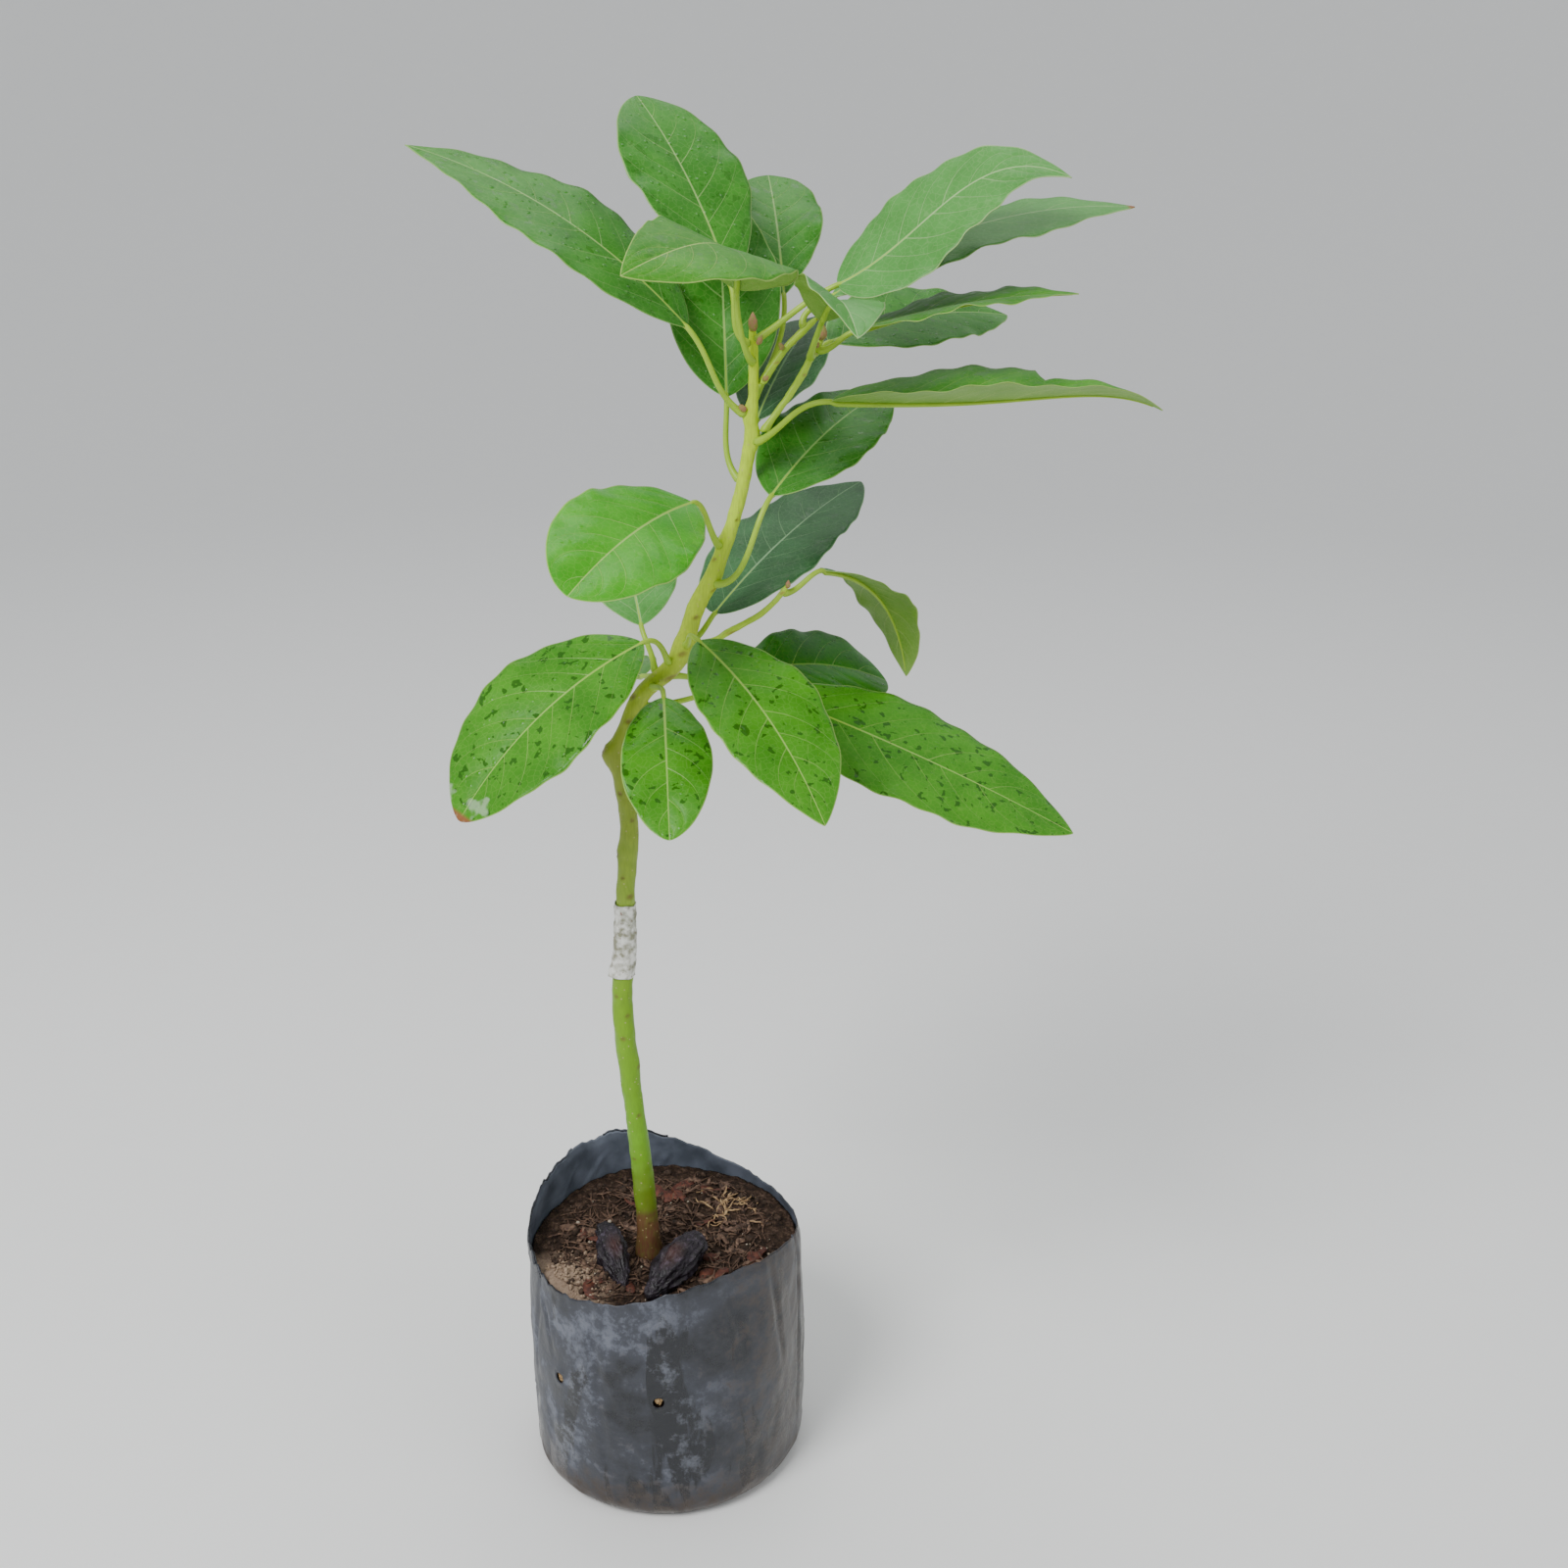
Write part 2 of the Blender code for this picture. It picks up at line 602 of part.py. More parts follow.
def leaf_rings(leaf, limbs):
    """Rings of one leaf: a round stalk from its limb that flattens into the blade."""
    stations, swellings = limbs[leaf["limb"]]
    centre, radius = at_height(stations, leaf["at"])
    axis = limb_axis(stations, leaf["at"])
    heel, along, side, _ = blade_frame(leaf, 0.0)
    outward = across(heel - centre, axis)
    root = centre + outward * (radius + swelling(swellings, leaf["at"], outward) + STALK_GAP)
    leave = unit(outward + axis * STALK_RISE)
    thick = leaf["stalk"] / 2
    rings = []
    for i in range(STALK_RINGS):
        t = i / STALK_RINGS
        point, direction = stalk_path(root, leave, heel, along, t)
        if i == 0:
            direction = outward
        flare = 1 + STALK_FLARE * (1 - t) ** 6 - STALK_TAPER * t
        rings.append(stalk_ring(point, direction, side, thick * flare))
    rings.append(stalk_ring(heel, along, side, thick * (1 - STALK_TAPER)))
    for i in range(1, BLADE_RINGS + 1):
        u = 0.5 * (i / BLADE_RINGS + 0.5 - 0.5 * math.cos(math.pi * i / BLADE_RINGS))
        rings.append(blade_ring(leaf, min(u, BLADE_END)))
    return rings


def add_leaves():
    limbs = {"trunk": (TRUNK, TRUNK_SWELLINGS)}
    for name, stations in SHOOTS.items():
        limbs[name] = (stations, ())
    for name, own in LEAVES.items():
        leaf = {**LEAF_DEFAULTS, **own}
        add_object(name, skin(leaf_rings(leaf, limbs)), "leaf")


def main():
    clear_scene()
    add_bag()
    add_soil()
    add_seed_halves()
    add_trunk()
    add_graft_wrap()
    add_shoots()
    add_leaves()


main()
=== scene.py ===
import math
from functools import partial

import bpy
import numpy as np
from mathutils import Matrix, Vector, noise


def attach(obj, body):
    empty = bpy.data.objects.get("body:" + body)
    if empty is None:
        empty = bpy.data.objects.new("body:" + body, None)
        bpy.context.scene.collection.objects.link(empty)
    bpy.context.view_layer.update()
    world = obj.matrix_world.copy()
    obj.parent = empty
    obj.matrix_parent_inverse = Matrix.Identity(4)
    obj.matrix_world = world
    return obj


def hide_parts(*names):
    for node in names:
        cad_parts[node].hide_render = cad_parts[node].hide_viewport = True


# A young grafted avocado tree, wet after rain, in a black film nursery bag.
# Metres, +Z up, the bag's underside at 0, seen from -Y.
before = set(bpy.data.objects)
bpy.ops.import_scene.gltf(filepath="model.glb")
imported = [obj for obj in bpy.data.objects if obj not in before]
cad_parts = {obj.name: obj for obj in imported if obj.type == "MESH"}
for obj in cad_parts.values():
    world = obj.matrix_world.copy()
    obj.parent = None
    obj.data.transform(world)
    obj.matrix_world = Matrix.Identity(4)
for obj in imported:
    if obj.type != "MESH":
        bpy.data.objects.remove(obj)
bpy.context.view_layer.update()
print("frame loaded:", len(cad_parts), "nodes")


def unit(vector):
    return vector / np.linalg.norm(vector)


def squareTo(vector, axis):
    # the unit part of a vector that lies square to a unit axis
    return unit(vector - axis * np.dot(vector, axis))


def heading(bearing):
    return np.array((math.cos(math.radians(bearing)), math.sin(math.radians(bearing)), 0.0))


def camel(node):
    # a piece's name from its node's name
    first, *rest = node.split("_")
    return first + "".join(part.capitalize() for part in rest)


def ease(low, high, value):
    # 0 below low, 1 above high, smooth between
    share = np.clip((value - low) / (high - low), 0.0, 1.0)
    return share * share * (3 - 2 * share)


def wander(x, y, z, scale, seed=0.0):
    # smooth noise from -1 to 1 with a grain of the given size in metres
    return noise.noise(Vector((x / scale + seed, y / scale - seed, z / scale + 2.3 * seed)))


def fromHex(text):
    # an sRGB hex colour as linear values
    parts = [int(text[i:i + 2], 16) / 255 for i in (1, 3, 5)]
    return (*(c / 12.92 if c <= 0.04045 else ((c + 0.055) / 1.055) ** 2.4 for c in parts), 1.0)


def perMetre(millimetres):
    # scale of a pattern whose grain has this size
    return 1000 / millimetres


def addNode(tree, kind, inputs, out=0, stops=(), **settings):
    # one shader node with its settings, its inputs set or linked and any colour stops; gives back
    # one of its outputs
    made = tree.nodes.new("ShaderNode" + kind)
    for key, value in settings.items():
        setattr(made, key, value)
    for key, value in inputs.items():
        if isinstance(value, bpy.types.NodeSocket):
            tree.links.new(value, made.inputs[key])
        else:
            made.inputs[key].default_value = fromHex(value) if isinstance(value, str) else value
    for index, (position, colour) in enumerate(stops):
        elements = made.color_ramp.elements
        stop = elements[index] if index < 2 else elements.new(position)
        stop.position, stop.color = position, fromHex(colour)
    return made.outputs[out]


def newMaterial(name, roughness, ior=1.45, specular=0.5):
    # the material, its shader, and addNode for its tree
    material = bpy.data.materials.new(name)
    material.use_nodes = True
    shader = material.node_tree.nodes["Principled BSDF"]
    values = {"IOR": ior, "Roughness": roughness, "Metallic": 0.0, "Specular IOR Level": specular}
    for key, value in values.items():
        shader.inputs[key].default_value = value
    return material, shader, partial(addNode, material.node_tree)


def feed(shader, sockets):
    for key, socket in sockets.items():
        shader.id_data.links.new(socket, shader.inputs[key])


def twoTone(name, roughness, dark, light, grain, detail=3, span=(0.35, 0.65), bump=(0.5, 0.0005),
            ior=1.45, over=None):
    # a plain stuff of two tones with a soft grain of the given size in millimetres, and its relief;
    # over gives more layers of colour
    material, shader, add = newMaterial(name, roughness, ior)
    place = add("TexCoord", {}, "Object")
    clouds = add("TexNoise", {"Vector": place, "Scale": perMetre(grain), "Detail": detail})
    share = add("MapRange", {0: clouds, 1: span[0], 2: span[1]}) if span else clouds
    colour = dark
    for mask, tone in ((share, light), *(over(add, place) if over else ())):
        colour = add("Mix", {0: mask, 6: colour, 7: tone}, 2, data_type="RGBA")
    feed(shader, {"Base Color": colour})
    if bump:
        relief = add("Bump", {"Height": clouds, "Strength": bump[0], "Distance": bump[1]})
        feed(shader, {"Normal": relief})
    return material


def addPiece(name, points, faces, materials, replaced=(), faceMaterials=None):
    # a smooth mesh piece that rides on the tree's one body
    mesh = bpy.data.meshes.new(name)
    mesh.from_pydata([tuple(map(float, p)) for p in points], [], faces)
    for material in materials:
        mesh.materials.append(material)
    if faceMaterials is not None:
        mesh.polygons.foreach_set("material_index", faceMaterials)
    mesh.shade_smooth()
    mesh.update()
    piece = bpy.data.objects.new(name, mesh)
    bpy.context.scene.collection.objects.link(piece)
    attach(piece, "root")
    if replaced:
        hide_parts(*replaced)
    return piece


def setValues(piece, label, kind, domain, values):
    # a named value at each point or corner, for the material
    attribute = piece.data.attributes.new(label, kind, domain)
    key = "vector" if kind == "FLOAT_VECTOR" else "value"
    attribute.data.foreach_set(key, np.array(values, dtype=np.float32).ravel())


def thicken(piece, thickness, offset, inside=0):
    wall = piece.modifiers.new("film thickness", "SOLIDIFY")
    wall.thickness = thickness
    wall.offset = offset
    wall.material_offset = inside


def skinFaces(rows, count, start=0, closed=True):
    # faces over rows of points, each row a closed ring or an open strip
    faces = []
    last = count if closed else count - 1
    for r in range(rows - 1):
        low = start + r * count
        for i in range(last):
            j = (i + 1) % count
            faces.append((low + i, low + j, low + count + j, low + count + i))
    return faces


def tubeFaces(rows, count, start=0):
    # closed rings with a face at each end
    final = start + (rows - 1) * count
    ends = [tuple(range(start, start + count))[::-1], tuple(range(final, final + count))]
    return skinFaces(rows, count, start) + ends


def tubeRings(points, radii, sides):
    # rings round a path, square to it, with no twist
    points = np.array(points)
    turns = np.arange(sides) * 2 * math.pi / sides
    rings = []
    side = None
    for i, point in enumerate(points):
        axis = unit(points[min(i + 1, len(points) - 1)] - points[max(i - 1, 0)])
        if side is None:
            side = np.array((0.0, 0.0, 1.0)) if abs(axis[2]) < 0.8 else np.array((1.0, 0.0, 0.0))
        side = squareTo(side, axis)
        front = np.cross(axis, side)
        rings.append(point + radii[i] * (np.outer(np.cos(turns), side) + np.outer(np.sin(turns), front)))
    return rings


# Stem and side shoots: smooth curves through the same stations as the solids (height, x, y,
# diameter), drawn with fine rings so that the bark's relief is real.
# Swellings: height, bearing, how far they stand out, how far they spread.
# Scars of old leaves and cuts: height, bearing, size.
limbs = {
    "trunk": dict(
        piece="trunkBark",
        sides=44,
        step=0.0011,
        slot="green_bark",
        stations=(
            (0.1283, -0.0083, -0.0120, 0.0150),
            (0.1380, -0.0083, -0.0118, 0.0128),
            (0.1765, -0.0103, -0.0105, 0.0117),
            (0.2196, -0.0139, -0.0090, 0.0103),
            (0.2610, -0.0174, -0.0080, 0.0110),
            (0.2813, -0.0183, -0.0070, 0.0108),
            (0.3154, -0.0158, -0.0060, 0.0104),
            (0.3405, -0.0150, -0.0050, 0.0094),
            (0.3784, -0.0119, -0.0040, 0.0092),
            (0.3973, -0.0138, -0.0035, 0.0082),
            (0.4164, -0.0160, -0.0030, 0.0080),
            (0.4321, -0.0113, -0.0025, 0.0079),
            (0.4492, -0.0021, -0.0020, 0.0086),
            (0.4621, 0.0120, -0.0015, 0.0088),
            (0.4720, 0.0172, -0.0010, 0.0090),
            (0.4894, 0.0230, -0.0005, 0.0086),
            (0.5110, 0.0337, 0.0000, 0.0072),
            (0.5359, 0.0428, 0.0010, 0.0065),
            (0.5663, 0.0495, 0.0020, 0.0061),
            (0.5900, 0.0517, 0.0026, 0.0050),
            (0.6060, 0.0520, 0.0030, 0.0045),
            (0.6200, 0.0516, 0.0036, 0.0034),
            (0.6262, 0.0518, 0.0036, 0.0016),
        ),
        swellings=(
            (0.1290, -40, 0.0010, 0.006), (0.2440, 20, 0.0007, 0.007), (0.3420, -60, 0.0012, 0.005),
            (0.3640, 170, 0.0014, 0.007), (0.3990, 150, 0.0008, 0.005), (0.4165, 180, 0.0044, 0.006),
            (0.4560, 230, 0.0010, 0.006), (0.4700, 0, 0.0022, 0.006), (0.4720, 150, 0.0010, 0.006),
            (0.5060, -20, 0.0012, 0.006), (0.5210, 200, 0.0010, 0.005), (0.5720, 0, 0.0018, 0.006),
            (0.5820, 180, 0.0020, 0.005),
        ),
        scars=(
            (0.1500, -70, 0.0030), (0.1900, -120, 0.0022), (0.2160, -60, 0.0026), (0.2330, 190, 0.0024),
            (0.2440, -20, 0.0026), (0.2620, -95, 0.0030), (0.2750, -60, 0.0026), (0.2860, 240, 0.0024),
            (0.3420, -60, 0.0036), (0.3520, -110, 0.0022), (0.3640, 190, 0.0034), (0.3830, -60, 0.0022),
            (0.3970, -120, 0.0028), (0.4090, -60, 0.0030), (0.4190, 185, 0.0052), (0.4350, -90, 0.0030),
            (0.4470, -140, 0.0034), (0.4570, -60, 0.0038), (0.4690, -80, 0.0034), (0.4760, 20, 0.0030),
            (0.4870, -70, 0.0028), (0.5000, -40, 0.0024), (0.5150, -130, 0.0022), (0.5340, -60, 0.0020),
        ),
    ),
    "shoot_right": dict(
        stations=(
            (0.5752, 0.0566, 0.0010, 0.0044),
            (0.5797, 0.0597, 0.0014, 0.0035),
            (0.5894, 0.0669, 0.0020, 0.0034),
            (0.6036, 0.0759, 0.0028, 0.0034),
            (0.6106, 0.0795, 0.0030, 0.0037),
            (0.6150, 0.0820, 0.0030, 0.0040),
            (0.6196, 0.0838, 0.0030, 0.0014),
        ),
        scars=((0.6010, -60, 0.0014), (0.6110, -40, 0.0018)),
    ),
    "shoot_middle": dict(
        stations=(
            (0.5966, 0.0557, 0.0044, 0.0040),
            (0.6049, 0.0612, 0.0060, 0.0035),
            (0.6123, 0.0669, 0.0070, 0.0033),
            (0.6197, 0.0746, 0.0080, 0.0032),
            (0.6243, 0.0800, 0.0090, 0.0026),
            (0.6260, 0.0822, 0.0094, 0.0012),
        ),
        scars=((0.6060, -70, 0.0014), (0.6150, -30, 0.0014)),
    ),
    "twig_low_right": dict(
        stations=(
            (0.4720, 0.0246, -0.0004, 0.0046),
            (0.4734, 0.0298, 0.0000, 0.0036),
            (0.4779, 0.0389, 0.0020, 0.0032),
            (0.4852, 0.0536, 0.0060, 0.0029),
            (0.4930, 0.0627, 0.0080, 0.0029),
            (0.4971, 0.0660, 0.0090, 0.0030),
            (0.4998, 0.0680, 0.0094, 0.0014),
        ),
        scars=((0.4780, -60, 0.0014), (0.4960, -90, 0.0018)),
    ),
}
shootDefaults = dict(swellings=(), sides=16, step=0.0009, slot="green_shoot")
bark = {
    "grain": 0.00016,        # height of the fine lengthwise grain
    "grainSize": 0.0009,
    "lumps": 0.000352,       # height of the soft lumps
    "lumpSize": 0.006,
    "scarDepth": 0.0007,
    "foot": 0.125,           # heights that the colours below lie between
    "top": 0.625,
    "colours": (
        (0.125, "#4c2a20"), (0.152, "#6b4232"), (0.159, "#64781c"), (0.200, "#6ca414"),
        (0.285, "#75a216"), (0.335, "#8aa834"), (0.415, "#909c34"), (0.455, "#a6ba30"),
        (0.525, "#bcda2e"), (0.625, "#c2e01c"),
    ),
}


def curveAt(stations, height):
    # centre and radius of a limb at a height
    table = np.array(stations)
    heights, values = table[:, 0], table[:, 1:]
    slopes = np.gradient(values, heights, axis=0)
    i = int(np.clip(np.searchsorted(heights, height) - 1, 0, len(heights) - 2))
    span = heights[i + 1] - heights[i]
    t = (height - heights[i]) / span
    value = (
        (2 * t**3 - 3 * t**2 + 1) * values[i]
        + (t**3 - 2 * t**2 + t) * slopes[i] * span
        + (3 * t**2 - 2 * t**3) * values[i + 1]
        + (t**3 - t**2) * slopes[i + 1] * span
    )
    return np.array((value[0], value[1], height)), value[2] / 2


def curveAxis(stations, height, step=0.001):
    low = max(stations[0][0], height - step)
    high = min(stations[-1][0], height + step)
    return unit(curveAt(stations, high)[0] - curveAt(stations, low)[0])


def swellOut(swellings, height, direction):
    total = 0.0
    for level, bearing, size, spread in swellings:
        facing = max(0.0, float(np.dot(direction, heading(bearing))))
        total += size * facing**2 * math.exp(-(((height - level) / spread) ** 2))
    return total


def limbRing(limb, height, sides, level=False):
    # centre, directions and reach of one ring of a limb
    centre, radius = curveAt(limb["stations"], height)
    axis = np.array((0.0, 0.0, 1.0)) if level else curveAxis(limb["stations"], height)
    side = squareTo(np.array((1.0, 0.0, 0.0)), axis)
    front = np.cross(axis, side)
    turns = np.arange(sides) * 2 * math.pi / sides
    ways = np.outer(np.cos(turns), side) + np.outer(np.sin(turns), front)
    reach = np.array([radius + swellOut(limb["swellings"], height, way) for way in ways])
    return centre, ways, reach


def scarAt(point, centre, scars):
    # depth and stain of the old scars at a point of the bark: a raised rim round a pit
    dent = 0.0
    stain = 0.0
    for height, bearing, size in scars:
        rise = (point[2] - height) / (size * 0.5)
        if abs(rise) > 3:
            continue
        away = (point - centre)[:2]
        aside = np.linalg.norm(away - heading(bearing)[:2] * np.linalg.norm(away)) / (size * 0.6)
        far = math.hypot(rise, aside)
        dent += 0.55 * math.exp(-((far - 1.0) * 3) ** 2) - 0.8 * math.exp(-(far * 1.5) ** 2)
        stain = max(stain, 0.65 * math.exp(-(far * 1.1) ** 4))
    return dent, stain


def greenBark():
    # young avocado bark: smooth live cork skin, green above and browned at the foot, with a satin
    # gloss where rain has wet it
    material, shader, add = newMaterial("green avocado bark", 0.42, specular=0.3)
    place = add("TexCoord", {}, "Object")
    height = add("SeparateXYZ", {0: place}, "Z")
    patches = add("TexNoise", {"Vector": place, "Scale": perMetre(14), "Detail": 4})
    stretched = add("Mapping", {"Vector": place, "Scale": (1.0, 1.0, 0.16)})
    grain = add("TexNoise", {"Vector": stretched, "Scale": perMetre(0.9), "Detail": 3})
    shift = add("Math", {0: patches, 1: 0.5}, operation="SUBTRACT")
    moved = add("Math", {0: shift, 1: 0.03, 2: height}, operation="MULTIPLY_ADD")
    share = add("MapRange", {0: moved, 1: bark["foot"], 2: bark["top"]})
    span = bark["top"] - bark["foot"]
    stops = [((level - bark["foot"]) / span, tone) for level, tone in bark["colours"]]
    colour = add("ValToRGB", {0: share}, stops=stops)
    streaks = add("MapRange", {0: grain, 1: 0.35, 2: 0.7, 3: 0.0, 4: 0.30})
    # corky dots about a millimetre across, 3 mm apart
    dots = add("TexVoronoi", {"Vector": place, "Scale": perMetre(3.2)})
    dotMask = add("MapRange", {0: dots, 1: 0.17, 2: 0.09, 3: 0.0, 4: 0.6})
    scar = add("Attribute", {}, "Fac", attribute_name="scar")
    for mask, tone in ((streaks, "#5d7a2c"), (dotMask, "#b9a878"), (scar, "#6e4d33")):
        colour = add("Mix", {0: mask, 6: colour, 7: tone}, 2, data_type="RGBA")
    feed(shader, {
        "Base Color": colour,
        "Roughness": add("MapRange", {0: patches, 1: 0.3, 2: 0.7, 3: 0.30, 4: 0.55}),
        "Normal": add("Bump", {"Height": grain, "Strength": 0.35, "Distance": 0.0004}),
    })
    return material


def scarLayer(add, _):
    # brown where the bark is scarred
    return [(add("Attribute", {}, "Fac", attribute_name="scar"), "#9a6b45")]


def addLimb(node, limb, material):
    stations, sides = limb["stations"], limb["sides"]
    heights = np.arange(stations[0][0], stations[-1][0], limb["step"])
    points = []
    stains = []
    for height in heights:
        centre, ways, reach = limbRing(limb, height, sides, level=height == heights[0])
        for way, out in zip(ways, reach):
            point = centre + way * out
            x, y, z = point
            relief = bark["grain"] * wander(x, y, z * 0.2, bark["grainSize"])
            relief += bark["lumps"] * wander(x, y, z, bark["lumpSize"], 3.1)
            dent, stain = scarAt(point, centre, limb["scars"])
            points.append(point + way * (relief + dent * bark["scarDepth"]))
            stains.append(stain)
    faces = tubeFaces(len(heights), sides)
    piece = addPiece(limb.get("piece", camel(node)), points, faces, [material], (node,))
    setValues(piece, "scar", "FLOAT", "POINT", stains)


# this year's growth: thin waxy skin, yellow green, still soft
shootSkin = twoTone(
    "green avocado shoot", 0.38, "#92b826", "#b8d834", 5, span=None, bump=(0.25, 0.0003), over=scarLayer,
)
barkSkin = greenBark()
for node in limbs:
    limbs[node] = {**shootDefaults, **limbs[node]}
    addLimb(node, limbs[node], barkSkin if node == "trunk" else shootSkin)
print("stem and shoots made")


# Graft film: a stretched strip wound round the union, torn at its lower left edge
wrap = {
    "low": 0.2965,
    "high": 0.3365,
    "clearance": 0.0004,
    "pitch": 0.0085,         # how far one turn of the strip climbs
    "layer": 0.00045,
    "folds": 0.00035,
    "foldSize": 0.0035,
    "wrinkles": 0.00018,
    "wrinkleSize": 0.0016,
    "tornBearing": 205,
    "tornFlare": 0.0022,
    "raggedEdge": 0.0010,
    "film": 0.0001,
    "sides": 96,
    "rows": 70,
}


def fleckLayer(add, place):
    # bark dust and dried sap on the film
    flecks = add("TexNoise", {"Vector": place, "Scale": perMetre(1.6), "Detail": 2})
    return [(add("MapRange", {0: flecks, 1: 0.66, 2: 0.74, 3: 0.0, 4: 0.8}), "#7a4a3c")]


def addWrap(material):
    rows, sides = wrap["rows"], wrap["sides"]
    outer, inner = [], []
    for r in range(rows):
        share = r / (rows - 1)
        height = wrap["low"] + (wrap["high"] - wrap["low"]) * share
        centre, ways, reach = limbRing(limbs["trunk"], height, sides)
        for i, (way, out) in enumerate(zip(ways, reach)):
            climb = ((height - wrap["low"]) / wrap["pitch"] - i / sides) % 1.0
            x, y, z = centre + way * out
            fold = wrap["layer"] * (0.35 + climb * 0.9)
            fold += wrap["folds"] * wander(x, y, z, wrap["foldSize"], 1.7)
            fold += wrap["wrinkles"] * wander(x, y, z * 3, wrap["wrinkleSize"], 4.0)
            facing = max(0.0, float(np.dot(way, heading(wrap["tornBearing"]))))
            torn = wrap["tornFlare"] * facing**3 * (1 - share) ** 6
            edge = wrap["raggedEdge"] * wander(x, y, 0.0, 0.004, 9.0) * (1 if share < 0.5 else -1)
            lift = np.array((0, 0, edge * abs(2 * share - 1) ** 8))
            skin = out + wrap["clearance"]
            outer.append(centre + way * (skin + max(wrap["film"], fold) + torn) + lift)
            inner.append(centre + way * (skin - wrap["film"] + torn * 0.9) + lift)
    inner = np.array(inner).reshape(rows, sides, 3)[::-1].reshape(-1, 3)
    faces = skinFaces(rows * 2, sides)
    final = (rows * 2 - 1) * sides
    faces += [(final + i, final + (i + 1) % sides, (i + 1) % sides, i) for i in range(sides)]
    addPiece("graftFilm", outer + list(inner), faces, [material], ("graft_wrap",))


# polyethylene grafting film, stretched and weathered: greyed, matt, with dirt in its folds
addWrap(twoTone(
    "weathered grafting film", 0.5, "#85846c", "#e4e3dd", 4, detail=6, span=(0.36, 0.60),
    bump=(0.5, 0.0006), ior=1.5, over=fleckLayer,
))
print("graft film made")


# Leaves: the same rule as the solids (limb and height that the stalk leaves, heel and tip of the
# blade, width, roll and bow), carried to a thin blade with raised ribs and waved margins, on a round
# stalk that runs on as the rib underneath. Angles are in degrees.
leafDefaults = dict(
    limb="trunk",
    roll=0,
    twist=0,
    fold=10,
    cup=12,
    arch=0.006,
    crest=0.5,
    sway=0.0,
    widest=0.45,
    fullness=1.55,
    wave=0.0012,
    waves=2.5,
    stalk=0.0030,
    pairs=8,                 # side ribs on each half
    look="soft",
    brownTip=0.0,            # share of the length past which the blade is dry
    glare=0.0,               # share of the length past which a water film and a painted sky reflection lie
    torn=None,               # half, start, end, share of the width that is missing
)
leafGrid = {
    "rings": 84,
    "columns": 35,
    "thickness": 0.0005,
    "quilt": 0.00055,        # how deep the side ribs sink between the swollen parts of the blade
    "frill": 0.0007,         # small waves of the margin
    "stalkSteps": 26,
    "ribSteps": 44,
    "ribRadius": 0.00115,    # of the rib underneath, at the heel
    "ribTip": 0.00022,
    "ribSides": 10,
    "rootDepth": 0.0016,     # how far the stalk goes into the limb
    "stalkGap": 0.0005,      # the solids' gap between stalk and limb
    "veinWidth": 0.50,       # of the side ribs' lines in mm, wider than life so that they show
}
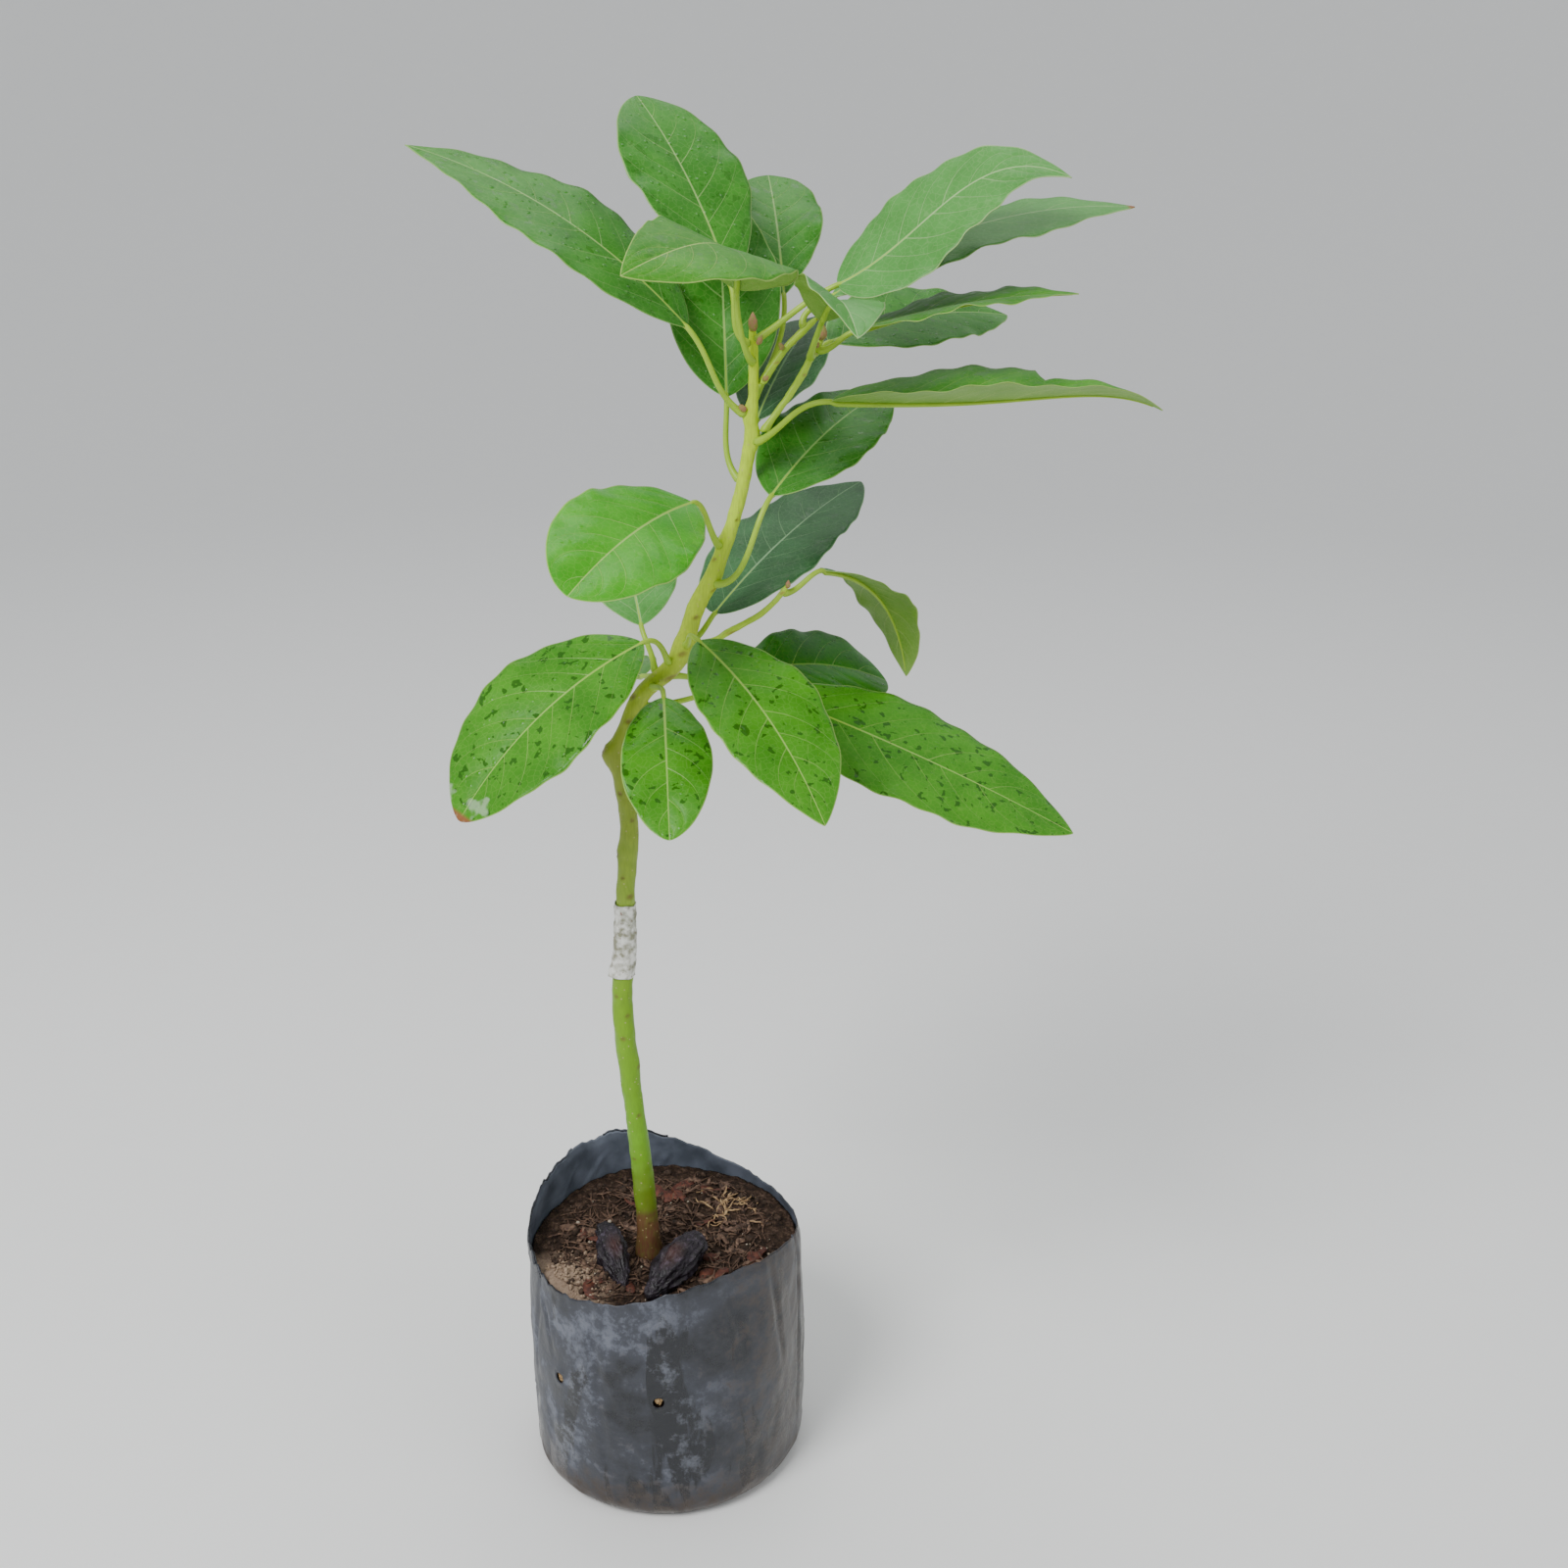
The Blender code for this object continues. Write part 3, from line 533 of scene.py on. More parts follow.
leaves = {
    "leaf_01_left_high": dict(
        at=0.583, heel=(0.022, -0.004, 0.623), tip=(-0.107, 0.030, 0.700), width=0.062, roll=-16,
        fold=4, cup=8, arch=0.011, widest=0.41, fullness=1.75, look="beaded", pairs=9,
    ),
    "leaf_02_back_high": dict(
        at=0.615, heel=(0.042, 0.004, 0.640), tip=(-0.003, 0.060, 0.721), width=0.060, roll=-5,
        widest=0.55, look="beaded", pairs=7,
    ),
    "leaf_03_front_high": dict(
        at=0.607, heel=(0.045, -0.012, 0.640), tip=(0.003, -0.120, 0.655), width=0.066, roll=-4,
        twist=-32, fold=6, arch=0.016, sway=0.014, torn=(-1, 0.10, 1.1, 0.22),
    ),
    "leaf_04_back_inner": dict(
        at=0.552, heel=(0.039, 0.014, 0.589), tip=(0.034, 0.065, 0.681), width=0.055, look="beaded",
    ),
    "leaf_05_back_right_high": dict(
        at=0.590, heel=(0.066, 0.045, 0.632), tip=(0.058, 0.115, 0.684), width=0.046, widest=0.58,
        look="beaded", pairs=7,
    ),
    "leaf_06_right_high": dict(
        at=0.617, heel=(0.090, 0.000, 0.641), tip=(0.192, -0.010, 0.687), width=0.053, roll=40,
        fold=2, cup=6, arch=0.016, crest=0.7, widest=0.38, look="sky", pairs=9,
    ),
    "leaf_07_right_high_rear": dict(
        limb="shoot_middle", at=0.621, heel=(0.088, 0.012, 0.635), tip=(0.228, 0.030, 0.673),
        width=0.055, roll=14, fold=3, arch=0.012, look="sky", brownTip=0.97, pairs=9,
    ),
    "leaf_08_right_shaded": dict(
        limb="shoot_right", at=0.611, heel=(0.087, 0.015, 0.614), tip=(0.181, 0.110, 0.616),
        width=0.052, roll=25, look="beaded",
    ),
    "leaf_09_right_level": dict(
        limb="shoot_right", at=0.613, heel=(0.098, -0.004, 0.621), tip=(0.198, -0.010, 0.638),
        width=0.050, roll=3, arch=0.004,
    ),
    "leaf_10_right_small": dict(
        limb="shoot_right", at=0.609, heel=(0.083, -0.012, 0.626), tip=(0.096, -0.090, 0.628),
        width=0.040, roll=-18, fold=20, arch=0.012, look="sky", pairs=6,
    ),
    "leaf_11_right_long": dict(
        at=0.571, heel=(0.087, -0.020, 0.592), tip=(0.233, -0.040, 0.591), width=0.066, fold=25,
        crest=0.8, pairs=9, torn=(1, 0.62, 1.1, 0.42),
    ),
    "leaf_12_right_mid": dict(
        at=0.505, heel=(0.060, -0.005, 0.546), tip=(0.118, 0.080, 0.582), width=0.055, roll=12,
        look="beaded",
    ),
    "leaf_13_back_mid": dict(
        at=0.475, heel=(0.032, 0.010, 0.485), tip=(0.107, 0.110, 0.530), width=0.060, roll=5,
        widest=0.42, fullness=1.35, look="shade", pairs=9,
    ),
    "leaf_14_left_mid": dict(
        at=0.521, heel=(0.024, -0.020, 0.546), tip=(-0.023, -0.120, 0.528), width=0.059, roll=-28,
        widest=0.55, fullness=1.3, look="bright", pairs=7,
    ),
    "leaf_15_back_left_mid": dict(
        at=0.456, heel=(-0.004, 0.010, 0.479), tip=(-0.026, 0.100, 0.517), width=0.050, look="sky",
    ),
    "leaf_16_right_hanging": dict(
        limb="twig_low_right", at=0.4965, heel=(0.085, 0.020, 0.504), tip=(0.131, 0.070, 0.434),
        width=0.040, arch=0.016, pairs=7,
    ),
    "leaf_17_left_low": dict(
        at=0.463, heel=(-0.001, -0.020, 0.479), tip=(-0.084, -0.070, 0.408), width=0.070, roll=-20,
        arch=0.010, widest=0.50, fullness=1.38, look="spotted", brownTip=0.965, glare=0.95,
    ),
    "leaf_18_front_low": dict(
        at=0.453, heel=(0.009, -0.030, 0.455), tip=(0.015, -0.100, 0.411), width=0.042, widest=0.53,
        fullness=1.35, look="spotted", pairs=6, glare=0.92,
    ),
    "leaf_19_front_right_low": dict(
        at=0.474, heel=(0.026, -0.030, 0.483), tip=(0.084, -0.110, 0.422), width=0.057, roll=8,
        sway=0.003, look="spotted",
    ),
    "leaf_20_back_right_low": dict(
        at=0.459, heel=(0.040, 0.020, 0.449), tip=(0.120, 0.065, 0.433), width=0.056, roll=24,
        arch=0.008, widest=0.6, look="deep", pairs=7,
    ),
    "leaf_21_right_low": dict(
        at=0.444, heel=(0.059, 0.000, 0.447), tip=(0.209, -0.020, 0.381), width=0.074, roll=20,
        fold=2, cup=6, arch=0.003, look="spotted", pairs=9,
    ),
    "leaf_22_back_right_mid": dict(
        at=0.577, heel=(0.053, 0.020, 0.577), tip=(0.085, 0.100, 0.617), width=0.045, look="shade",
        pairs=7,
    ),
    "leaf_23_back_left_low": dict(
        at=0.452, heel=(-0.005, 0.020, 0.450), tip=(-0.063, 0.110, 0.407), width=0.055, roll=-10,
        look="spotted",
    ),
}
# blade, deeper patches, ribs, share of dark wet spots, share of beads, roughness
leafLooks = {
    "soft": dict(blade="#47901e", patch="#357c12", rib="#a2c060", spots=0.30, beads=0.4, rough=0.45),
    # sky: paler and bluer than soft, a painted sky reflection on the waxy upper leaves
    "sky": dict(blade="#559a46", patch="#478a38", rib="#a4c684", spots=0.12, beads=0.2, rough=0.46),
    "beaded": dict(blade="#3d8622", patch="#2d7216", rib="#94ba68", spots=0.40, beads=1.0, rough=0.42),
    "bright": dict(blade="#50aa28", patch="#3c961a", rib="#a6cc64", spots=0.15, beads=0.3, rough=0.26),
    "deep": dict(blade="#2a780a", patch="#1f6406", rib="#7ea63c", spots=0.35, beads=0.3, rough=0.36),
    # shade: a darker copy of the blade colours for leaves in shadow, painted shade
    "shade": dict(blade="#396a3c", patch="#2b552e", rib="#7fa478", spots=0.35, beads=0.4, rough=0.46),
    "spotted": dict(blade="#489218", patch="#377e0e", rib="#9ac25c", spots=1.0, beads=0.5, rough=0.34),
}


def chordLength(leaf):
    return np.linalg.norm(np.array(leaf["tip"]) - np.array(leaf["heel"]))


def outlineAt(leaf, u):
    # half width of the blade at a share of its length
    widest, fullness = leaf["widest"], leaf["fullness"]
    rise = (u / widest) ** (fullness * widest)
    fall = ((1 - u) / (1 - widest)) ** (fullness * (1 - widest))
    return leaf["width"] / 2 * rise * fall


def bladeFrame(leaf, u):
    # point on the rib with its direction, the blade's left side and its upper side
    heel, tip = np.array(leaf["heel"]), np.array(leaf["tip"])
    chord = tip - heel
    levelSide = unit(np.cross((0.0, 0.0, 1.0), chord))
    levelUp = unit(np.cross(chord, levelSide))
    power = math.log(0.5) / math.log(leaf["crest"])
    share = u**power
    bow = 4 * share * (1 - share)
    bowSlope = (4 - 8 * share) * power * u ** (power - 1)
    bend = levelUp * leaf["arch"] + levelSide * leaf["sway"]
    along = unit(chord + bend * bowSlope)
    roll = math.radians(leaf["roll"] + leaf["twist"] * u)
    side = squareTo(levelSide * math.cos(roll) + levelUp * math.sin(roll), along)
    return heel + chord * u + bend * bow, along, side, np.cross(along, side)


def sideRibs(leaf, u, v, sign, seed):
    # phase of the side ribs: they leave the rib at a slant and bend towards the tip
    slant = leaf["width"] / 2 / chordLength(leaf) * 0.70
    bent = slant * np.abs(v) + 0.10 * np.abs(v) ** 2.6
    phase = (u - bent) * leaf["pairs"] + 0.25 * sign + 0.25
    return phase + 0.10 * np.sin(2.4 * phase + seed + sign) + 0.05 * np.sin(9 * u + 2 * seed)


def tornShare(leaf, u, half):
    # share of one half's width that is missing, with a step at each end of the tear
    side, start, end, share = leaf["torn"]
    inside = ease(start, start + 0.03, u) * (1 - ease(end - 0.03, end, u))
    return share * inside * (half == side)


def bladeReach(leaf, u, v, seed):
    # sideways and upward reach of the blade's middle surface at shares v of its half width
    half = outlineAt(leaf, u) * (1 + 0.012 * np.sin(17 * u + seed + np.sign(v)))
    if leaf["torn"]:
        half = half * (1 - tornShare(leaf, u, np.sign(v)))
    reach = np.abs(v) * half
    fold = math.radians(leaf["fold"])
    cup = math.radians(leaf["cup"]) * np.abs(v) + 1e-6
    out = reach * (np.sin(fold) - np.sin(fold - cup)) / cup
    rise = reach * (np.cos(fold - cup) - np.cos(fold)) / cup
    phase = 2 * math.pi * leaf["waves"] * u + np.where(v > 0, 1.9, 0.0)
    rise = rise + leaf["wave"] * np.sin(phase) * v**2 * math.sin(math.pi * u)
    frill = 2 * math.pi * (leaf["pairs"] * 0.9) * u + np.where(v > 0, seed, 2.1 * seed)
    rise = rise + leafGrid["frill"] * np.sin(frill) * np.abs(v) ** 5 * math.sin(math.pi * u)
    for sign in (-1.0, 1.0):
        near = np.abs((sideRibs(leaf, u, v, sign, seed) + 0.5) % 1.0 - 0.5)
        valley = np.exp(-(near / 0.13) ** 2) - 0.35
        fade = np.abs(v) ** 0.5 * (1 - np.abs(v) ** 3) * math.sin(math.pi * u) ** 0.5
        rise = rise - np.where(np.sign(v) == sign, leafGrid["quilt"] * valley * fade, 0.0)
    return np.copysign(out, v), rise


def stalkPath(leaf):
    # points and radii from inside the limb to the heel, on the same curve as the solid
    limb = limbs[leaf["limb"]]
    centre, radius = curveAt(limb["stations"], leaf["at"])
    axis = curveAxis(limb["stations"], leaf["at"])
    heel, along, _, _ = bladeFrame(leaf, 0.0)
    outward = squareTo(heel - centre, axis)
    swell = swellOut(limb["swellings"], leaf["at"], outward)
    root = centre + outward * (radius + swell + leafGrid["stalkGap"])
    handle = np.linalg.norm(heel - root) * 0.38
    b, c = root + unit(outward + axis * 0.6) * handle, heel - along * handle
    thick = leaf["stalk"] / 2
    path = [root - outward * leafGrid["rootDepth"]]
    radii = [thick * 1.4]
    for t in np.linspace(0, 1, leafGrid["stalkSteps"]):
        path.append(root * (1 - t) ** 3 + b * 3 * t * (1 - t) ** 2 + c * 3 * t**2 * (1 - t) + heel * t**3)
        radii.append(thick * (1 + 0.35 * (1 - t) ** 8 - 0.15 * t))
    return path, radii


def addLeaf(node, leaf, materials, seed):
    rings, columns = leafGrid["rings"], leafGrid["columns"]
    v = np.linspace(-1, 1, columns)
    v = np.sign(v) * (0.75 * np.abs(v) + 0.25 * v**2)
    points, us = [], []
    for share in np.arange(rings + 1) / rings:
        u = min(max(0.5 * (share + 0.5 - 0.5 * math.cos(math.pi * share)), 0.004), 0.9985)
        us.append(u)
        point, _, side, top = bladeFrame(leaf, u)
        out, rise = bladeReach(leaf, u, v, seed)
        half = leafGrid["thickness"] / 2 * (1 - 0.6 * np.abs(v) ** 4)
        middle = point + np.outer(out, side) + np.outer(rise, top)
        points.append(middle + np.outer(half, top))
        points.append((middle - np.outer(half, top))[::-1])
    count = 2 * columns
    blade = tubeFaces(rings + 1, count)
    faceMaterials = ([0] * columns + [1] * columns) * rings + [0, 0]
    # the stalk, running on as the rib under the blade
    path, radii = stalkPath(leaf)
    for share in np.linspace(0.02, 0.97, leafGrid["ribSteps"]):
        point, _, _, top = bladeFrame(leaf, share)
        radius = leafGrid["ribRadius"] * (1 - share) ** 0.9 + leafGrid["ribTip"]
        path.append(point - top * (radius * 0.62 + 0.0001))
        radii.append(radius)
    stalk = tubeFaces(len(path), leafGrid["ribSides"], count * (rings + 1))
    points = np.concatenate(points + tubeRings(path, radii, leafGrid["ribSides"]))
    faceMaterials += [2] * len(stalk)
    piece = addPiece(camel(node), points, blade + stalk, materials, (node,), faceMaterials)
    # where each corner lies on the blade, and the side ribs there, for the leaf's own pattern
    spacing = chordLength(leaf) * 1000 / leaf["pairs"] * 0.85
    vs = np.concatenate([v, v[::-1]])
    place = np.zeros((len(piece.data.loops), 3))
    ribs = np.zeros((len(piece.data.loops), 3))
    corner = 0
    for r in range(rings):
        for i in range(count):
            j = (i + 1) % count
            sign = -1.0 if vs[i] + vs[j] < 0 else 1.0
            for ring, column in ((r, i), (r, j), (r + 1, j), (r + 1, i)):
                u, across = us[ring], vs[column]
                width = leafGrid["veinWidth"] * (1 - 0.65 * abs(across)) * (1 - 0.35 * u)
                place[corner] = (u, across, outlineAt(leaf, u) * 1000)
                ribs[corner] = (sideRibs(leaf, u, across, sign, seed), spacing, width)
                corner += 1
    setValues(piece, "place", "FLOAT_VECTOR", "CORNER", place)
    setValues(piece, "ribs", "FLOAT_VECTOR", "CORNER", ribs)


def ribLines(add):
    # how far along the leaf, and masks of its side ribs, its middle rib and its rim
    place = add("SeparateXYZ", {0: add("Attribute", {}, "Vector", attribute_name="place")}).node.outputs
    ribs = add("SeparateXYZ", {0: add("Attribute", {}, "Vector", attribute_name="ribs")}).node.outputs
    off = add("Math", {0: ribs[0], 1: 0.5}, operation="ADD")
    turn = add("Math", {0: off}, operation="FRACT")
    near = add("Math", {0: turn, 1: 0.5}, operation="SUBTRACT")
    far = add("Math", {0: near}, operation="ABSOLUTE")
    gap = add("Math", {0: far, 1: ribs[1]}, operation="MULTIPLY")
    side = add("MapRange", {0: add("Math", {0: gap, 1: ribs[2]}, operation="DIVIDE"), 1: 1.0, 2: 0.25})
    aside = add("Math", {0: place[1]}, operation="ABSOLUTE")
    inside = add("Math", {0: aside, 1: place[2]}, operation="MULTIPLY")
    width = add("MapRange", {0: place[0], 1: 0.0, 2: 1.0, 3: 0.95, 4: 0.25})
    middle = add("MapRange", {0: add("Math", {0: inside, 1: width}, operation="DIVIDE"), 1: 1.0, 2: 0.45})
    edge = add("Math", {0: 1.0, 1: aside}, operation="SUBTRACT")
    rim = add("MapRange", {0: add("Math", {0: edge, 1: place[2]}, operation="MULTIPLY"), 1: 0.75, 2: 0.25})
    return place[0], side, middle, rim


def leafBlade(name, look, brownTip, glare):
    # upper side of an avocado leaf: waxy cuticle over green tissue, pale ribs, wet with rain
    material, shader, add = newMaterial(name, look["rough"], specular=0.30)
    spot = add("TexCoord", {}, "Object")
    along, side, middle, rim = ribLines(add)
    clouds = add("TexNoise", {"Vector": spot, "Scale": perMetre(22), "Detail": 3})
    cloudMask = add("MapRange", {0: clouds, 1: 0.35, 2: 0.65})
    # finest network of veins, cells of about 3 mm
    net = add("TexVoronoi", {"Vector": spot, "Scale": perMetre(3.0)}, feature="DISTANCE_TO_EDGE")
    netLine = add("MapRange", {0: net, 1: 0.07, 2: 0.0, 3: 0.0, 4: 0.16})
    # dark spots where rain has soaked in, 3 to 7 mm
    blots = add("TexNoise", {"Vector": spot, "Scale": perMetre(5.0), "Detail": 2.5, "Distortion": 0.3})
    blotMask = add("MapRange", {0: blots, 1: 0.612, 2: 0.640, 3: 0.0, 4: 0.80 * look["spots"]})
    sideShare = add("Math", {0: side, 1: 0.48}, operation="MULTIPLY")
    lines = add("Math", {0: middle, 1: rim}, operation="MAXIMUM")
    lineShare = add("Math", {0: lines, 1: 0.85}, operation="MULTIPLY")
    layers = [
        (cloudMask, look["patch"]), (netLine, look["rib"]), (blotMask, "#1f500a"),
        (sideShare, look["rib"]), (lineShare, look["rib"]),
    ]
    if brownTip:
        layers.append((add("MapRange", {0: along, 1: brownTip, 2: brownTip + 0.015}), "#8a5a34"))
    # beads of water, about 2 mm, on some of the cells of a 3.4 mm pattern
    cells = add("TexVoronoi", {"Vector": spot, "Scale": perMetre(3.4)}).node.outputs
    bead = add("MapRange", {0: cells["Distance"], 1: 0.34, 2: 0.05})
    chance = add("SeparateColor", {0: cells["Color"]})
    picked = add("MapRange", {0: chance, 1: 0.62, 2: 0.66, 3: 0.0, 4: look["beads"]})
    beads = add("Math", {0: bead, 1: picked}, operation="MULTIPLY")
    wet = add("Math", {0: beads, 1: blotMask}, operation="MAXIMUM")
    if glare:
        # a film of water near the tip: glossier, and a pale painted reflection of the sky mixed into its
        # colour
        patchy = add("Math", {0: clouds, 1: 0.5}, operation="SUBTRACT")
        reach = add("Math", {0: patchy, 1: 0.7, 2: along}, operation="MULTIPLY_ADD")
        film = add("MapRange", {0: reach, 1: glare, 2: glare + 0.02, 3: 0.0, 4: 0.38})
        layers.append((film, "#c9dcbc"))
        wet = add("Math", {0: wet, 1: film}, operation="MAXIMUM")
    # relief: finely pebbled, sunk at the side ribs, beads standing out
    pebble = add("TexNoise", {"Vector": spot, "Scale": perMetre(2.2), "Detail": 2})
    ground = add("Math", {0: pebble, 1: 0.35}, operation="MULTIPLY")
    cut = add("Math", {0: side, 1: 0.5}, operation="MULTIPLY")
    lowered = add("Math", {0: ground, 1: cut}, operation="SUBTRACT")
    relief = add("Math", {0: beads, 1: 1.6, 2: lowered}, operation="MULTIPLY_ADD")
    colour = look["blade"]
    for mask, tone in layers:
        colour = add("Mix", {0: mask, 6: colour, 7: tone}, 2, data_type="RGBA")
    feed(shader, {
        "Base Color": colour,
        "Roughness": add("MapRange", {0: wet, 1: 0.0, 2: 0.6, 3: look["rough"], 4: 0.12}),
        "Normal": add("Bump", {"Height": relief, "Strength": 0.55, "Distance": 0.0005}),
    })
    return material


def leafUnderside():
    # lower side of the leaf: matt, olive, with the ribs standing out paler
    material, shader, add = newMaterial("avocado leaf underside", 0.55)
    spot = add("TexCoord", {}, "Object")
    _, side, _, rim = ribLines(add)
    clouds = add("TexNoise", {"Vector": spot, "Scale": perMetre(18), "Detail": 3})
    net = add("TexVoronoi", {"Vector": spot, "Scale": perMetre(2.6)}, feature="DISTANCE_TO_EDGE")
    netLine = add("MapRange", {0: net, 1: 0.08, 2: 0.0, 3: 0.0, 4: 0.3})
    lines = add("Math", {0: side, 1: rim}, operation="MAXIMUM")
    share = add("Math", {0: lines, 1: 0.7}, operation="MULTIPLY")
    height = add("Math", {0: lines, 1: netLine}, operation="ADD")
    colour = "#5f9024"
    for mask, tone in ((clouds, "#80aa42"), (netLine, "#9cb658"), (share, "#aac468")):
        colour = add("Mix", {0: mask, 6: colour, 7: tone}, 2, data_type="RGBA")
    feed(shader, {
        "Base Color": colour,
        "Normal": add("Bump", {"Height": height, "Strength": 0.5, "Distance": 0.0005}),
    })
    return material


underside = leafUnderside()
# stalk and rib: waxy yellow-green skin with a satin gloss
stalkSkin = twoTone(
    "avocado leaf stalk", 0.40, "#86ac20", "#aed038", 7, detail=4, span=None, bump=(0.2, 0.0003),
)
blades = {}
for index, (node, own) in enumerate(leaves.items()):
    leaf = {**leafDefaults, **own}
    key = (leaf["look"], leaf["brownTip"], leaf["glare"])
    if key not in blades:
        name = "avocado leaf cuticle, " + leaf["look"] + (", dry tip" if leaf["brownTip"] else "")
        blades[key] = leafBlade(name, leafLooks[leaf["look"]], leaf["brownTip"], leaf["glare"])
    addLeaf(node, leaf, [blades[key], underside, stalkSkin], 1.7 * index + 0.4)
print("leaves made")


# Buds: closed scales at the ends of the leader and the shoots, and resting buds in the axils
budGrid = {"rows": 14, "sides": 12}
buds = (
    # foot of the bud, direction, length, width
    ((0.0517, 0.0032, 0.6205), (0.02, -0.10, 1.0), 0.0085, 0.0042),
    ((0.0540, 0.0000, 0.6150), (0.50, -0.35, 1.0), 0.0050, 0.0026),
    ((0.0830, 0.0020, 0.6170), (0.15, -0.25, 1.0), 0.0070, 0.0044),
    ((0.0812, -0.0010, 0.6140), (-0.35, -0.60, 0.8), 0.0045, 0.0028),
    ((0.0815, 0.0085, 0.6250), (0.70, -0.20, 0.7), 0.0045, 0.0024),
    ((0.0655, 0.0050, 0.6120), (-0.45, -0.50, 0.8), 0.0042, 0.0024),
    ((0.0565, 0.0020, 0.5985), (0.70, -0.60, 0.6), 0.0038, 0.0024),
    ((0.0480, 0.0000, 0.5850), (-0.70, -0.50, 0.7), 0.0045, 0.0028),
    ((0.0678, 0.0086, 0.4985), (0.10, -0.30, 1.0), 0.0042, 0.0024),
)


def addBuds(material):
    points, faces = [], []
    rows, sides = budGrid["rows"], budGrid["sides"]
    for foot, direction, length, width in buds:
        axis = unit(np.array(direction))
        side = squareTo(np.array((1.0, 0.2, 0.0)), axis)
        front = np.cross(axis, side)
        faces += tubeFaces(rows, sides, len(points))
        for share in np.arange(rows) / (rows - 1):
            profile = math.sin(math.pi * min(0.98, 0.22 + 0.78 * share)) ** 0.8
            step = 1 + 0.10 * ((share * 3.0) % 1.0)   # each scale starts inside the one below
            for turn in np.arange(sides) * 2 * math.pi / sides:
                reach = width / 2 * profile * step * (1 + 0.08 * math.cos(3 * turn + 4 * share))
                around = side * math.cos(turn) + front * math.sin(turn)
                points.append(np.array(foot) + axis * length * share + around * reach)
    addPiece("buds", points, faces, [material])


# bud scales: thin and dry, so matt, pinkish brown at the edges over green
addBuds(twoTone("avocado bud scale", 0.6, "#8a8a3c", "#a8765a", 1.8, span=(0.38, 0.58), bump=None))
print("buds made")


# Nursery bag: one sheet of black polyethylene film, creased, its rim cut by hand and folded over at
# the left
bag = {
    "radius": 0.0755,
    "belly": 0.0015,
    "rimRadius": 0.0735,
    "rimHeight": 0.144,
    "rimSag": 0.0095,
    "rimHighBearing": -50,
    "rimLean": 0.003,
    "rimLeanBearing": 140,
    "rimWaves": 0.0022,
    "rimRagged": (0.0008, 0.0016),   # all round, and more at the left
    "curl": 0.0009,
    "corner": 0.010,
    "film": 0.0005,
    "turns": 264,
    "wallRows": 104,
    "cornerRows": 9,
    "holes": ((-134, 0.080), (-90, 0.080), (134, 0.080), (90, 0.080)),   # bearing, height
    "holeRadius": 0.0031,
    "holeLip": 0.0006,
    "mostRelief": 0.0011,
    # creases seen in the photo: bearing and height of both ends, depth, width
    "creases": (
        (-14, 0.150, -17, 0.020, 0.0016, 0.0022),
        (-38, 0.148, -32, 0.075, 0.0010, 0.0020),
        (-62, 0.150, -52, 0.100, 0.0009, 0.0022),
        (-118, 0.140, -112, 0.030, 0.0008, 0.0026),
        (-150, 0.135, -158, 0.060, 0.0010, 0.0022),
    ),
    "moreCreases": 34,
    "seed": 12,
}
# Folds of the rim: bearings of both ends, how far they hang down, seed
rimFolds = {"rimFoldLeft": (140, 212, 0.012, 2.0), "rimFoldBack": (92, 122, 0.006, 6.0)}
foldGrid = {"columns": 90, "rows": 14, "film": 0.0004, "standOff": 0.0009, "shake": 0.0004}


def rimAt(turn):
    # height of the cut rim
    x, y = math.cos(turn), math.sin(turn)
    level = bag["rimHeight"] + bag["rimSag"] * math.cos(2 * (turn - math.radians(bag["rimHighBearing"])))
    level += bag["rimLean"] * math.cos(turn - math.radians(bag["rimLeanBearing"]))
    level += bag["rimWaves"] * noise.noise(Vector((6 * x, 6 * y, 3.0)))
    ragged = bag["rimRagged"][0] + bag["rimRagged"][1] * ease(0.2, 0.9, -x)
    return level + ragged * noise.noise(Vector((22 * x, 22 * y, 8.0)))


def bagRadius(height, turn):
    share = height / bag["rimHeight"]
    belly = bag["belly"] * math.sin(math.pi * min(share, 1.0))
    drawnIn = (bag["rimRadius"] - bag["radius"]) * share**3
    outOfRound = 0.0010 * math.cos(3 * turn + 0.6) + 0.0007 * math.cos(5 * turn - 4 * share)
    return bag["radius"] + belly + drawnIn + outOfRound * min(1.0, 0.3 + share)


def makeCreases():
    # the creases seen in the photo and more like them all round
    random = np.random.default_rng(bag["seed"])
    creases = list(bag["creases"])
    for _ in range(bag["moreCreases"]):
        bearing = random.uniform(-180, 180)
        high = random.uniform(0.03, 0.15)
        low = high - random.uniform(0.015, 0.06)
        lean = random.uniform(-22, 22)
        depth = random.uniform(0.0003, 0.0009)
        creases.append((bearing, high, bearing + lean, low, depth, random.uniform(0.0012, 0.0026)))
    return creases


creases = makeCreases()


def creaseAt(turn, height):
    # how far the creases sink, with a soft ridge on each side
    total = 0.0
    for b0, h0, b1, h1, depth, width in creases:
        share = (h0 - height) / (h0 - h1)
        if share < -0.1 or share > 1.1:
            continue
        off = (math.degrees(turn) - (b0 + (b1 - b0) * share) + 180) % 360 - 180
        aside = math.radians(off) * bag["radius"] / width
        if abs(aside) < 4:
            fade = math.sin(math.pi * min(1.0, max(0.0, share))) ** 0.5
            total += depth * fade * (0.35 * math.exp(-((abs(aside) - 1.7) ** 2)) - math.exp(-aside**2))
    return total


def holeLip(turn, height):
    # the film stands out a little where the drain holes were punched
    total = 0.0
    for bearing, level in bag["holes"]:
        off = turn - math.radians(bearing)
        far = math.hypot(math.atan2(math.sin(off), math.cos(off)) * bag["radius"], height - level)
        total += bag["holeLip"] * math.exp(-(((far - bag["holeRadius"]) / 0.0022) ** 2))
    return total


